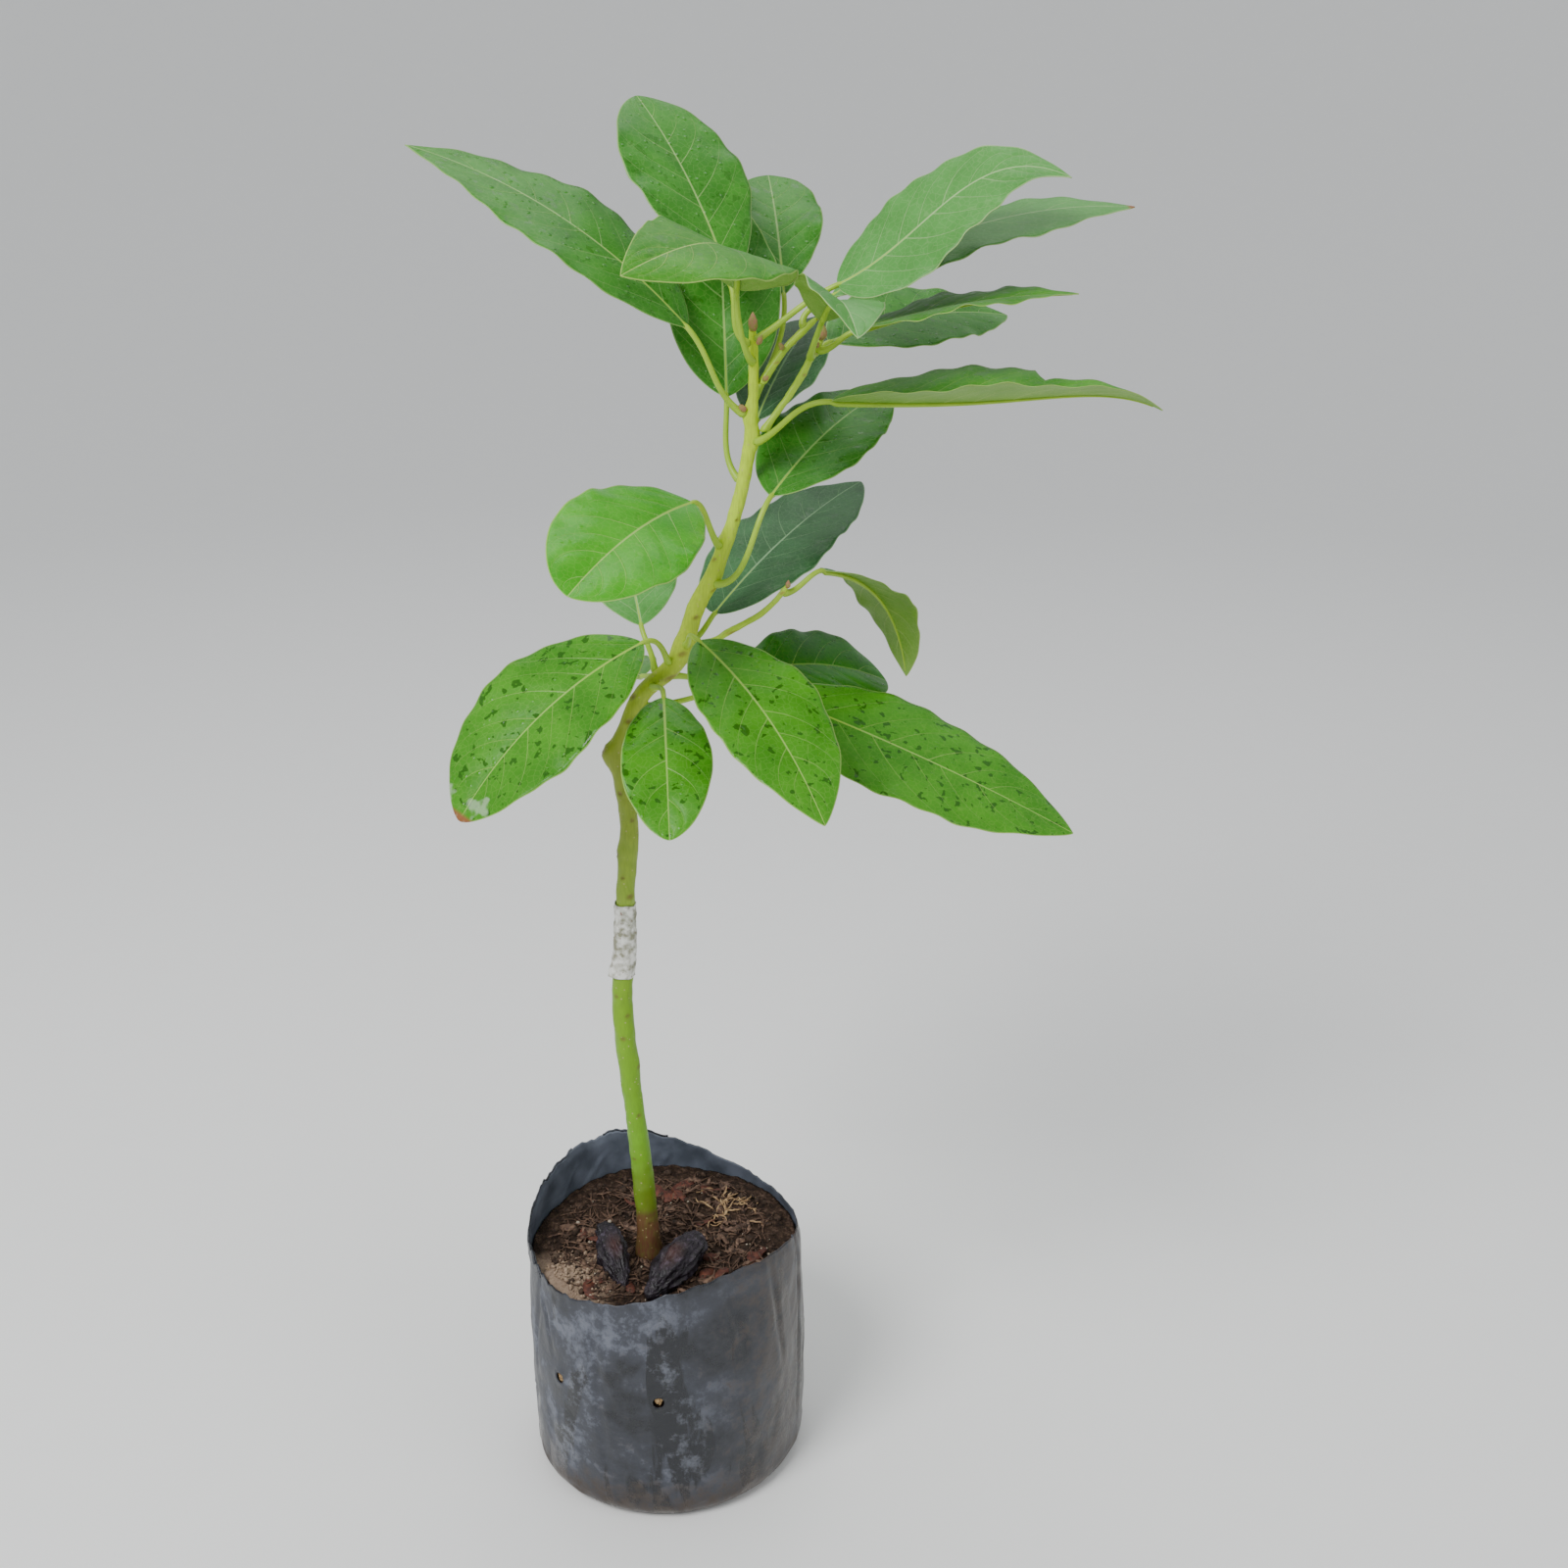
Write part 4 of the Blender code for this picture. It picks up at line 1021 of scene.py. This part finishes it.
def bagPoint(turn, height, rim):
    # a point of the wall with its soft dents, wrinkles, creases, curled rim and lipped holes
    reach = bagRadius(height, turn)
    x, y = math.cos(turn) * reach, math.sin(turn) * reach
    loose = ease(0.10, 0.15, height)
    soft = 0.0006 * wander(x, y, height, 0.018, 2.0) + 0.0003 * wander(x, y, height * 0.5, 0.006, 5.0)
    soft += 0.0010 * loose * wander(x, y, height * 0.4, 0.016, 7.0)
    soft += 0.00022 * wander(x, y, height, 0.0028, 11.0) * wander(x, y, height, 0.03, 1.0)
    curl = ease(rim - 0.006, rim, height) * (bag["curl"] * math.cos(turn - math.radians(170)))
    reach += min(bag["mostRelief"], soft + creaseAt(turn, height) + curl) + holeLip(turn, height)
    return (reach * math.cos(turn), reach * math.sin(turn), height)


def polyethyleneFilm():
    # low-density polyethylene film, blown, black with carbon: half gloss, under a grey haze of dust
    # and scuffs, darker and shinier where wet, with mud at the foot
    material, shader, add = newMaterial("black polyethylene film", 0.35, ior=1.51)
    place = add("TexCoord", {}, "Object")
    x, _, height = add("SeparateXYZ", {0: place}).node.outputs
    dust = add("TexNoise", {"Vector": place, "Scale": perMetre(32), "Detail": 6, "Distortion": 0.6})
    grime = add("TexNoise", {"Vector": place, "Scale": perMetre(7), "Detail": 8, "Roughness": 0.7})
    runs = add("Mapping", {"Vector": place, "Scale": (1.0, 1.0, 0.22)})
    wet = add("TexNoise", {"Vector": runs, "Scale": perMetre(22), "Detail": 7, "Distortion": 0.6})
    hazeShare = add("Math", {0: grime, 1: 0.5, 2: dust}, operation="MULTIPLY_ADD")
    haze = add("MapRange", {0: hazeShare, 1: 0.56, 2: 0.88})
    scuffShare = add("Math", {0: grime, 1: 1.1, 2: dust}, operation="MULTIPLY_ADD")
    scuffs = add("MapRange", {0: scuffShare, 1: 1.10, 2: 1.30})
    wetMask = add("MapRange", {0: wet, 1: 0.54, 2: 0.57})
    dry = add("Math", {0: 1.0, 1: wetMask}, operation="SUBTRACT")
    # towards the right (+x) less dust and fewer scuffs: painted shade darkening the bag's right side
    fewerScuffsInRightShade = add("MapRange", {0: x, 1: -0.01, 2: 0.045, 3: 1.0, 4: 0.25})
    lessDustInRightShade = add("MapRange", {0: x, 1: 0.01, 2: 0.06, 3: 1.0, 4: 0.5})
    dryHaze = add("Math", {0: haze, 1: dry}, operation="MULTIPLY")
    dusty = add("Math", {0: dryHaze, 1: lessDustInRightShade}, operation="MULTIPLY")
    scuffed = add("Math", {0: scuffs, 1: fewerScuffsInRightShade}, operation="MULTIPLY")
    rise = add("Math", {0: grime, 1: -0.09, 2: height}, operation="MULTIPLY_ADD")
    foot = add("MapRange", {0: rise, 1: -0.018, 2: -0.040})
    # browner towards the right (+x): painted shade on the right side, partly mud
    right = add("MapRange", {0: x, 1: 0.020, 2: 0.065, 3: 0.0, 4: 0.22})
    brown = add("Math", {0: grime, 1: right}, operation="ADD")
    stain = add("MapRange", {0: brown, 1: 0.60, 2: 0.74, 3: 0.0, 4: 0.7})
    mud = add("Math", {0: foot, 1: stain}, operation="MAXIMUM")
    fine = add("TexNoise", {"Vector": place, "Scale": perMetre(2.4), "Detail": 3})
    colour = "#191b21"
    for mask, tone in ((dusty, "#3f424c"), (scuffed, "#666a75"), (mud, "#3d332c")):
        colour = add("Mix", {0: mask, 6: colour, 7: tone}, 2, data_type="RGBA")
    feed(shader, {
        "Base Color": colour,
        "Roughness": add("MapRange", {0: dusty, 1: 0.0, 2: 1.0, 3: 0.26, 4: 0.58}),
        "Normal": add("Bump", {"Height": fine, "Strength": 0.3, "Distance": 0.0006}),
    })
    return material


def punchHoles(points, faces, holes):
    # takes the faces inside the holes away and draws the points round them onto a circle
    cut = []
    for face in faces:
        centre = points[list(face)].mean(axis=0)
        near = min(np.linalg.norm(centre - hole) for hole in holes)
        cut.append(len(face) == 4 and near < bag["holeRadius"])
    kept = [face for face, gone in zip(faces, cut) if not gone]
    loose = {i for face, gone in zip(faces, cut) if gone for i in face}
    still = {i for face in kept for i in face}
    for i in loose & still:
        away = min((points[i] - hole for hole in holes), key=np.linalg.norm)
        points[i] += away / np.linalg.norm(away) * bag["holeRadius"] - away
    left = [i for i in range(len(points)) if i not in loose - still]
    index = {old: new for new, old in enumerate(left)}
    return points[left], [tuple(index[i] for i in face) for face in kept]


def addBag(outside, inside):
    count = bag["turns"]
    turns = [2 * math.pi * i / count for i in range(count)]
    rows = []
    for share in (0.05, 0.2, 0.4, 0.6, 0.8):
        reach = (bag["radius"] - bag["corner"]) * share
        rows.append([(reach * math.cos(t), reach * math.sin(t), 0.0) for t in turns])
    for share in np.arange(bag["cornerRows"]) / (bag["cornerRows"] - 1):
        bend = math.pi / 2 * share
        level = bag["corner"] * (1 - math.cos(bend))
        ring = []
        for t in turns:
            reach = bagRadius(level, t) - bag["corner"] * (1 - math.sin(bend))
            reach += 0.0006 * wander(math.cos(t) * reach, math.sin(t) * reach, level, 0.009) * share
            ring.append((reach * math.cos(t), reach * math.sin(t), level))
        rows.append(ring)
    rims = [rimAt(t) for t in turns]
    for share in np.arange(1, bag["wallRows"] + 1) / bag["wallRows"]:
        levels = [bag["corner"] + (rim - bag["corner"]) * share for rim in rims]
        rows.append([bagPoint(t, level, rim) for t, level, rim in zip(turns, levels, rims)])
    points = np.array([p for row in rows for p in row])
    faces = skinFaces(len(rows), count) + [tuple(range(count))[::-1]]
    holes = [np.array(bagPoint(math.radians(b), height, 0.15)) for b, height in bag["holes"]]
    points, faces = punchHoles(points, faces, holes)
    piece = addPiece("filmBag", points, faces, [outside, inside], ("grow_bag",))
    thicken(piece, bag["film"], -1.0, inside=1)


def addRimFold(name, material, first, final, drop, seed):
    # the film turned outwards over the rim, with a ragged lower edge
    columns, rows = foldGrid["columns"], foldGrid["rows"]
    points = []
    for r in range(rows):
        for share in np.arange(columns) / (columns - 1):
            t = math.radians(first + (final - first) * share)
            rim = rimAt(t)
            ragged = 1 + 0.35 * noise.noise(Vector((share * 5, seed, 0.0)))
            depth = drop * ragged * math.sin(math.pi * min(0.97, max(0.03, share))) ** 0.5
            bend = math.pi * min(1.0, 2.5 * r / (rows - 1))
            out = foldGrid["standOff"] * (1 - math.cos(bend)) / 2
            out += foldGrid["shake"] * noise.noise(Vector((share * 9, r * 0.3, seed)))
            reach = bagRadius(rim - 0.001, t) + 0.0004 + out
            level = rim + 0.0007 * math.sin(bend) - depth * max(0.0, r / (rows - 1) - 0.25)
            points.append((reach * math.cos(t), reach * math.sin(t), level))
    piece = addPiece(name, points, skinFaces(rows, columns, closed=False), [material])
    thicken(piece, foldGrid["film"], 0.0)


filmOutside = polyethyleneFilm()
# inner face of the same film: an even grey, much lighter than the outside
addBag(filmOutside, twoTone(
    "light grey inside of the film", 0.5, "#4a515c", "#6b7280", 16, detail=5, bump=(0.3, 0.0008), ior=1.51,
))
for name, fold in rimFolds.items():
    addRimFold(name, filmOutside, *fold)
print("bag made")


# Soil: damp, crumbly, heaped at the front left, strewn with husk fibres, wood bits and old leaf
soil = {
    "top": 0.128,
    "inset": 0.0014,
    "wallLevels": (0.012, 0.122, 12),   # from, to, count
    "turns": 200,
    "rings": 76,
    # x, y, height, reach of each heap
    "heaps": (
        (-0.053, -0.037, 0.0070, 0.017),
        (0.030, 0.040, 0.0035, 0.026),
        (-0.040, 0.038, 0.0025, 0.022),
        (0.048, -0.018, 0.0020, 0.018),
    ),
    "stem": (-0.008, -0.012),
    "clear": 0.0085,         # kept free round the stem
    "reach": 0.069,          # bits stay inside this radius
}
# Crumbs: count, sizes, seed, material, and for a heap its place and spread. The colours of all these
# bits are plain two-tone ones, since they are only a few millimetres long.
crumbs = {
    # clods of the compost: matt, near black when damp
    "soilCrumbs": dict(
        count=620, sizes=(0.0014, 0.0040), seed=21, stuff=("soil crumb", 0.9, "#241912", "#4c3a2d", 1.5),
    ),
    # dry sandy loam: matt, paler than the compost
    "sandyCrumbs": dict(
        count=420, sizes=(0.0010, 0.0030), seed=22, heap=(-0.047, -0.034, 0.010),
        stuff=("sandy loam crumb", 0.9, "#77624f", "#a8917c", 1.2),
    ),
    # grit: washed stone with a dull shine
    "pebbles": dict(
        count=70, sizes=(0.0010, 0.0024), seed=23, stuff=("grit", 0.7, "#8a7b6a", "#c0b4a2", 1.0),
    ),
}
# Strips: count, lengths, widths, thickness, seed, how much they curl, how high they lie, material,
# and for a tuft its place and spread
strips = {
    # husk fibres: dark brown, stiff, with a low shine
    "huskFibres": dict(
        count=420, lengths=(0.006, 0.020), widths=(0.0004, 0.0011), thickness=0.0005, seed=24,
        stuff=("coconut husk fibre", 0.8, "#33221a", "#6b5140", 2.0),
    ),
    # wood: split bits, greyed brown
    "woodChips": dict(
        count=110, lengths=(0.004, 0.011), widths=(0.0018, 0.0042), thickness=0.0008, seed=25, curl=0.05,
        stuff=("wood chip", 0.75, "#3f2a20", "#7d6250", 2.2),
    ),
    # dead leaf: leathery, red brown
    "leafBits": dict(
        count=26, lengths=(0.008, 0.016), widths=(0.004, 0.008), thickness=0.0005, seed=26, curl=0.1,
        stuff=("dead leaf", 0.7, "#3f2019", "#6a3a2a", 3.0),
    ),
    # straw: smooth dry stalks, the palest bits
    "straw": dict(
        count=38, lengths=(0.005, 0.012), widths=(0.0005, 0.0010), thickness=0.0005, seed=27, lift=0.0012,
        area=(0.032, 0.028, 0.007), stuff=("straw", 0.7, "#8a6a4a", "#b89a72", 2.0),
    ),
}
stripDefaults = dict(curl=0.25, lift=0.0006, area=None)
stripSteps = 7
# clay that has washed into the drain holes: matt, much paler than the film
clay = {
    "lumps": 9,
    "spread": 0.0012,
    "inset": 0.0013,
    "sizes": (0.0026, 0.0040),
    "seed": 31,
    "stuff": ("washed clay", 0.8, "#7a5f40", "#b09468", 1.2),
}


def soilHeight(x, y):
    level = soil["top"]
    for heapX, heapY, height, reach in soil["heaps"]:
        near = max(0.0, 1 - ((x - heapX) ** 2 + (y - heapY) ** 2) / reach**2)
        level += height * near**2
    crumbly = noise.fractal(Vector((x / 0.006, y / 0.006, 1.0)), 0.7, 2.1, 4)
    lumps = noise.cell(Vector((x / 0.004, y / 0.004, 5.0)))
    return level + 0.0010 * crumbly + 0.0004 * lumps - 0.0002


def darkSoil():
    # damp peaty compost: rough crumbs, dark brown, near black in the pores with painted shade, brown on
    # top; sandy at the front left
    material, shader, add = newMaterial("damp potting soil", 0.85, ior=1.4, specular=0.3)
    place = add("TexCoord", {}, "Object")
    x, y, _ = add("SeparateXYZ", {0: place}).node.outputs
    coarse = add("TexNoise", {"Vector": place, "Scale": perMetre(5), "Detail": 8, "Roughness": 0.75})
    cells = add("TexVoronoi", {"Vector": place, "Scale": perMetre(2.0)})
    # the darkest stop lies where the relief is low: painted shade in the pores over the compost's own
    # brown
    stops = ((0.36, "#1a120d"), (0.52, "#38291f"), (0.68, "#645044"))
    peatWithPoreShade = add("ValToRGB", {0: coarse}, stops=stops)
    loam = add("Mix", {0: coarse, 6: "#725e4f", 7: "#a8927f"}, 2, data_type="RGBA")
    left = add("MapRange", {0: x, 1: -0.022, 2: -0.038})
    front = add("MapRange", {0: y, 1: -0.010, 2: -0.024})
    sandy = add("Math", {0: left, 1: front}, operation="MULTIPLY")
    height = add("Math", {0: coarse, 1: cells}, operation="SUBTRACT")
    feed(shader, {
        "Base Color": add("Mix", {0: sandy, 6: peatWithPoreShade, 7: loam}, 2, data_type="RGBA"),
        "Normal": add("Bump", {"Height": height, "Strength": 0.9, "Distance": 0.0012}),
    })
    return material


def addSoil():
    count = soil["turns"]
    turns = [2 * math.pi * i / count for i in range(count)]
    rows = []
    for level in np.linspace(*soil["wallLevels"]):
        ring = []
        for t in turns:
            rough = noise.noise(Vector((math.cos(t) * 18, math.sin(t) * 18, level / 0.004)))
            reach = bagRadius(level, t) - soil["inset"] - 0.0008 - 0.0005 * (1 + rough)
            ring.append((reach * math.cos(t), reach * math.sin(t), level))
        rows.append(ring)
    for r in range(soil["rings"]):
        ring = []
        for t in turns:
            reach = (bagRadius(soil["top"], t) - soil["inset"]) * (1 - r / soil["rings"])
            x, y = reach * math.cos(t), reach * math.sin(t)
            ring.append((x, y, soilHeight(x, y)))
        rows.append(ring)
    points = [p for row in rows for p in row]
    addPiece("soil", points, tubeFaces(len(rows), count), [darkSoil()], ("potting_soil",))


def soilSpot(random, reach):
    # a place on the soil, clear of the stem
    stemX, stemY = soil["stem"]
    while True:
        x, y = random.uniform(-reach, reach, 2)
        if math.hypot(x, y) < reach and math.hypot(x - stemX, y - stemY) > soil["clear"]:
            return x, y


def lumpMesh(centre, size, random, points, faces):
    # a small faceted lump: an octahedron cut once, pushed about
    corners = ((1, 0, 0), (0, 1, 0), (-1, 0, 0), (0, -1, 0), (0, 0, 1), (0, 0, -1))
    own = [np.array(corner, dtype=float) for corner in corners]
    upper = [(i, (i + 1) % 4, 4) for i in range(4)]
    lower = [((i + 1) % 4, i, 5) for i in range(4)]
    halves = {}
    cut = []
    for a, b, c in upper + lower:
        mids = []
        for p, q in ((a, b), (b, c), (c, a)):
            key = (min(p, q), max(p, q))
            if key not in halves:
                halves[key] = len(own)
                own.append(unit(own[p] + own[q]))
            mids.append(halves[key])
        cut += [(a, mids[0], mids[2]), (b, mids[1], mids[0]), (c, mids[2], mids[1]), tuple(mids)]
    stretch = random.uniform(0.6, 1.2, 3)
    start = len(points)
    for p in own:
        points.append(np.array(centre) + p * stretch * size / 2 * random.uniform(0.8, 1.15))
    faces += [tuple(start + i for i in face) for face in cut]


def addCrumbs(name, kind):
    random = np.random.default_rng(kind["seed"])
    points, faces = [], []
    for _ in range(kind["count"]):
        if "heap" in kind:
            x, y = np.array(kind["heap"][:2]) + random.normal(0, kind["heap"][2], 2)
            if math.hypot(x, y) > soil["reach"]:
                continue
        else:
            x, y = soilSpot(random, 0.066)
        size = random.uniform(*kind["sizes"]) * (0.6 + 0.8 * random.random() ** 2)
        lumpMesh((x, y, soilHeight(x, y) + size * 0.15), size, random, points, faces)
    addPiece(name, points, faces, [twoTone(*kind["stuff"])])


def addStrips(name, kind):
    # flat or thready bits lying on the soil, each a bent strip with four sides
    random = np.random.default_rng(kind["seed"])
    area = kind["area"]
    points, faces = [], []
    for _ in range(kind["count"]):
        x, y = np.array(area[:2]) + random.normal(0, area[2], 2) if area else soilSpot(random, 0.060)
        bearing = random.uniform(0, 2 * math.pi)
        length = random.uniform(*kind["lengths"])
        width = random.uniform(*kind["widths"])
        tilt = random.uniform(-0.25, 0.25)
        roll = random.uniform(-0.5, 0.5)
        bend = random.uniform(-kind["curl"], kind["curl"])
        faces += tubeFaces(stripSteps, 4, len(points))
        for share in np.arange(stripSteps) / (stripSteps - 1) - 0.5:
            way = bearing + bend * share * 4
            px = x + math.cos(way) * length * share
            py = y + math.sin(way) * length * share
            inside = min(1.0, soil["reach"] / math.hypot(px, py))
            px, py = px * inside, py * inside
            pz = soilHeight(px, py) + kind["lift"] + abs(tilt) * length * (share + 0.5) * 0.5
            aside = unit(np.array((-math.sin(way), math.cos(way), roll)))
            aside = aside * width / 2 * (1 - 0.75 * abs(share * 2) ** 3)
            rise = np.array((0, 0, kind["thickness"] / 2))
            centre = np.array((px, py, pz))
            points += [centre + aside + rise, centre - aside + rise]
            points += [centre - aside - rise, centre + aside - rise]
    addPiece(name, points, faces, [twoTone(*kind["stuff"])])


def addHoleClay():
    random = np.random.default_rng(clay["seed"])
    points, faces = [], []
    for bearing, height in bag["holes"]:
        for _ in range(clay["lumps"]):
            level = height + random.normal(0, clay["spread"])
            turn = math.radians(bearing) + random.normal(0, clay["spread"]) / bag["radius"]
            reach = bagRadius(level, turn) - clay["inset"]
            centre = (reach * math.cos(turn), reach * math.sin(turn), level)
            lumpMesh(centre, random.uniform(*clay["sizes"]), random, points, faces)
    addPiece("holeClay", points, faces, [twoTone(*clay["stuff"])])


addSoil()
for name, kind in crumbs.items():
    addCrumbs(name, kind)
for name, kind in strips.items():
    addStrips(name, {**stripDefaults, **kind})
addHoleClay()
print("soil made")


# Seed halves: shrivelled, leathery, standing on each side of the stem
seeds = {
    "seed_half_left": dict(
        blunt=(-0.034, 0.001, 0.138), point=(-0.019, -0.043, 0.128), width=0.020, depth=0.022, seed=1.0,
    ),
    "seed_half_right": dict(
        blunt=(0.021, -0.011, 0.139), point=(-0.006, -0.054, 0.129), width=0.026, depth=0.026, seed=5.0,
    ),
}
seedGrid = {"rows": 90, "sides": 96, "folds": 0.19, "bumps": 0.05}


def seedCoat():
    # shrivelled seed: wrinkled skin, near black purple, half gloss from the rain, red brown towards its
    # top
    material, shader, add = newMaterial("shrivelled seed coat", 0.45)
    place = add("TexCoord", {}, "Object")
    clouds = add("TexNoise", {"Vector": place, "Scale": perMetre(6), "Detail": 7, "Roughness": 0.65})
    stops = ((0.38, "#120d12"), (0.56, "#282028"), (0.70, "#625868"))
    skin = add("ValToRGB", {0: clouds}, stops=stops)
    # red brown towards the top of the half, held in the attribute called ridge
    ridge = add("Attribute", {}, "Fac", attribute_name="ridge")
    share = add("MapRange", {0: ridge, 1: 0.2, 2: 1.0, 3: 0.0, 4: 0.4})
    fine = add("TexNoise", {"Vector": place, "Scale": perMetre(1.6), "Detail": 4})
    feed(shader, {
        "Base Color": add("Mix", {0: share, 6: skin, 7: "#5c342a"}, 2, data_type="RGBA"),
        "Roughness": add("MapRange", {0: clouds, 1: 0.3, 2: 0.7, 3: 0.25, 4: 0.65}),
        "Normal": add("Bump", {"Height": fine, "Strength": 0.8, "Distance": 0.0010}),
    })
    return material


def addSeedHalf(node, half, material):
    blunt, point = np.array(half["blunt"]), np.array(half["point"])
    axis = unit(point - blunt)
    side = unit(np.cross((0.0, 0.0, 1.0), axis))
    rise = np.cross(axis, side)
    middle = (blunt + point) / 2
    length = np.linalg.norm(point - blunt)
    rows, sides = seedGrid["rows"], seedGrid["sides"]
    points, topShares = [], []
    for polar in math.pi * (np.arange(rows) + 0.5) / rows:
        for turn in 2 * math.pi * np.arange(sides) / sides:
            lengthwise = -math.cos(polar)
            sideways, upward = math.sin(polar) * math.cos(turn), math.sin(polar) * math.sin(turn)
            taper = 1.0 - 0.35 * max(0.0, lengthwise) ** 1.5
            ridge = 1.0 + 0.07 * math.sin(5 * sideways + 3 * lengthwise) + 0.05 * math.cos(7 * lengthwise)
            folded = Vector((lengthwise * 1.5, sideways * 3.4, upward * 3.4 + half["seed"]))
            fold = noise.ridged_multi_fractal(folded, 0.8, 2.2, 4, 1.0, 2.0)
            small = noise.noise(Vector((lengthwise * 6, sideways * 6, upward * 6 + half["seed"])))
            crease = 1.0 - seedGrid["folds"] * min(1.5, fold) + seedGrid["bumps"] * small
            grow = taper * ridge * crease
            points.append(
                middle + axis * lengthwise * length / 2 * (0.98 + 0.02 * crease)
                + side * sideways * half["width"] / 2 * grow
                + rise * upward * half["depth"] / 2 * grow
            )
            # share of red brown: most on the top of the half, fading towards its ends
            topShares.append(max(0.0, upward) ** 6 * max(0.0, 1 - abs(lengthwise)))
    piece = addPiece(camel(node), points, tubeFaces(rows, sides), [material], (node,))
    setValues(piece, "ridge", "FLOAT", "POINT", topShares)


seedMaterial = seedCoat()
for node, half in seeds.items():
    addSeedHalf(node, half, seedMaterial)
print("seed halves made")


# Floor, lights and camera
studio = {
    "floor": ("#f6f6f4", "#eceeee"),
    "floorDrop": 0.0004,
    "sweepFlat": 2.6,
    "sweepBend": 2.4,
    "sweepTurn": 0.42 * math.pi,
    "world": "#f4f7fb",
    "worldStrength": 0.62,
    "cameraPlace": (0.066, -0.819, 0.714),
    "cameraPitch": 21.0,
    "lens": 40.2,
    # place, point aimed at, size, power
    "lamps": (
        ((-0.9, -1.2, 1.9), (0.03, 0.0, 0.45), 1.0, 40),
        ((1.5, -1.0, 1.2), (0.03, 0.0, 0.40), 1.4, 6),
        ((0.1, 0.8, 2.2), (0.03, 0.0, 0.45), 1.3, 9),
    ),
}


def addFloor():
    # matt backdrop paper: a round sweep, flat round the plant, then curving up to hide the horizon
    material, shader, add = newMaterial("matt paper backdrop", 0.9, ior=1.5, specular=0.2)
    place = add("TexCoord", {}, "Object")
    fibres = add("TexNoise", {"Vector": place, "Scale": perMetre(30), "Detail": 4})
    share = add("Math", {0: fibres, 1: 0.25}, operation="MULTIPLY")
    pale, shade = studio["floor"]
    feed(shader, {"Base Color": add("Mix", {0: share, 6: pale, 7: shade}, 2, data_type="RGBA")})
    sides, bend = 96, studio["sweepBend"]
    profile = [(0.001, 0.0), (1.0, 0.0)]
    for turn in np.linspace(0, studio["sweepTurn"], 14):
        profile.append((studio["sweepFlat"] + bend * math.sin(turn), bend * (1 - math.cos(turn))))
    points = []
    for reach, level in profile:
        for turn in np.linspace(0, 2 * math.pi, sides, endpoint=False):
            points.append((reach * math.cos(turn), reach * math.sin(turn), level))
    mesh = bpy.data.meshes.new("floor")
    mesh.from_pydata(points, [], skinFaces(len(profile), sides) + [tuple(range(sides))[::-1]])
    mesh.materials.append(material)
    mesh.shade_smooth()
    floor = bpy.data.objects.new("floor", mesh)
    floor.location = (0, 0, -studio["floorDrop"])
    bpy.context.scene.collection.objects.link(floor)


def addLights():
    world = bpy.data.worlds.new("soft sky")
    world.use_nodes = True
    ground = world.node_tree.nodes["Background"]
    ground.inputs["Color"].default_value = fromHex(studio["world"])
    ground.inputs["Strength"].default_value = studio["worldStrength"]
    bpy.context.scene.world = world
    for index, (place, aim, size, power) in enumerate(studio["lamps"]):
        light = bpy.data.lights.new("softbox" + str(index), "AREA")
        light.shape = "DISK"
        light.size = size
        light.energy = power
        lamp = bpy.data.objects.new("softbox" + str(index), light)
        lamp.location = place
        lamp.rotation_euler = (Vector(aim) - Vector(place)).to_track_quat("-Z", "Y").to_euler()
        bpy.context.scene.collection.objects.link(lamp)


def addCamera():
    camera = bpy.data.cameras.new("camera")
    camera.lens = studio["lens"]
    camera.sensor_width = 36.0
    camera.sensor_fit = "HORIZONTAL"
    camera.clip_start = 0.01
    holder = bpy.data.objects.new("camera", camera)
    holder.location = studio["cameraPlace"]
    holder.rotation_euler = (math.radians(90 - studio["cameraPitch"]), 0, 0)
    bpy.context.scene.collection.objects.link(holder)
    bpy.context.scene.camera = holder


addFloor()
addLights()
addCamera()
print("studio made")
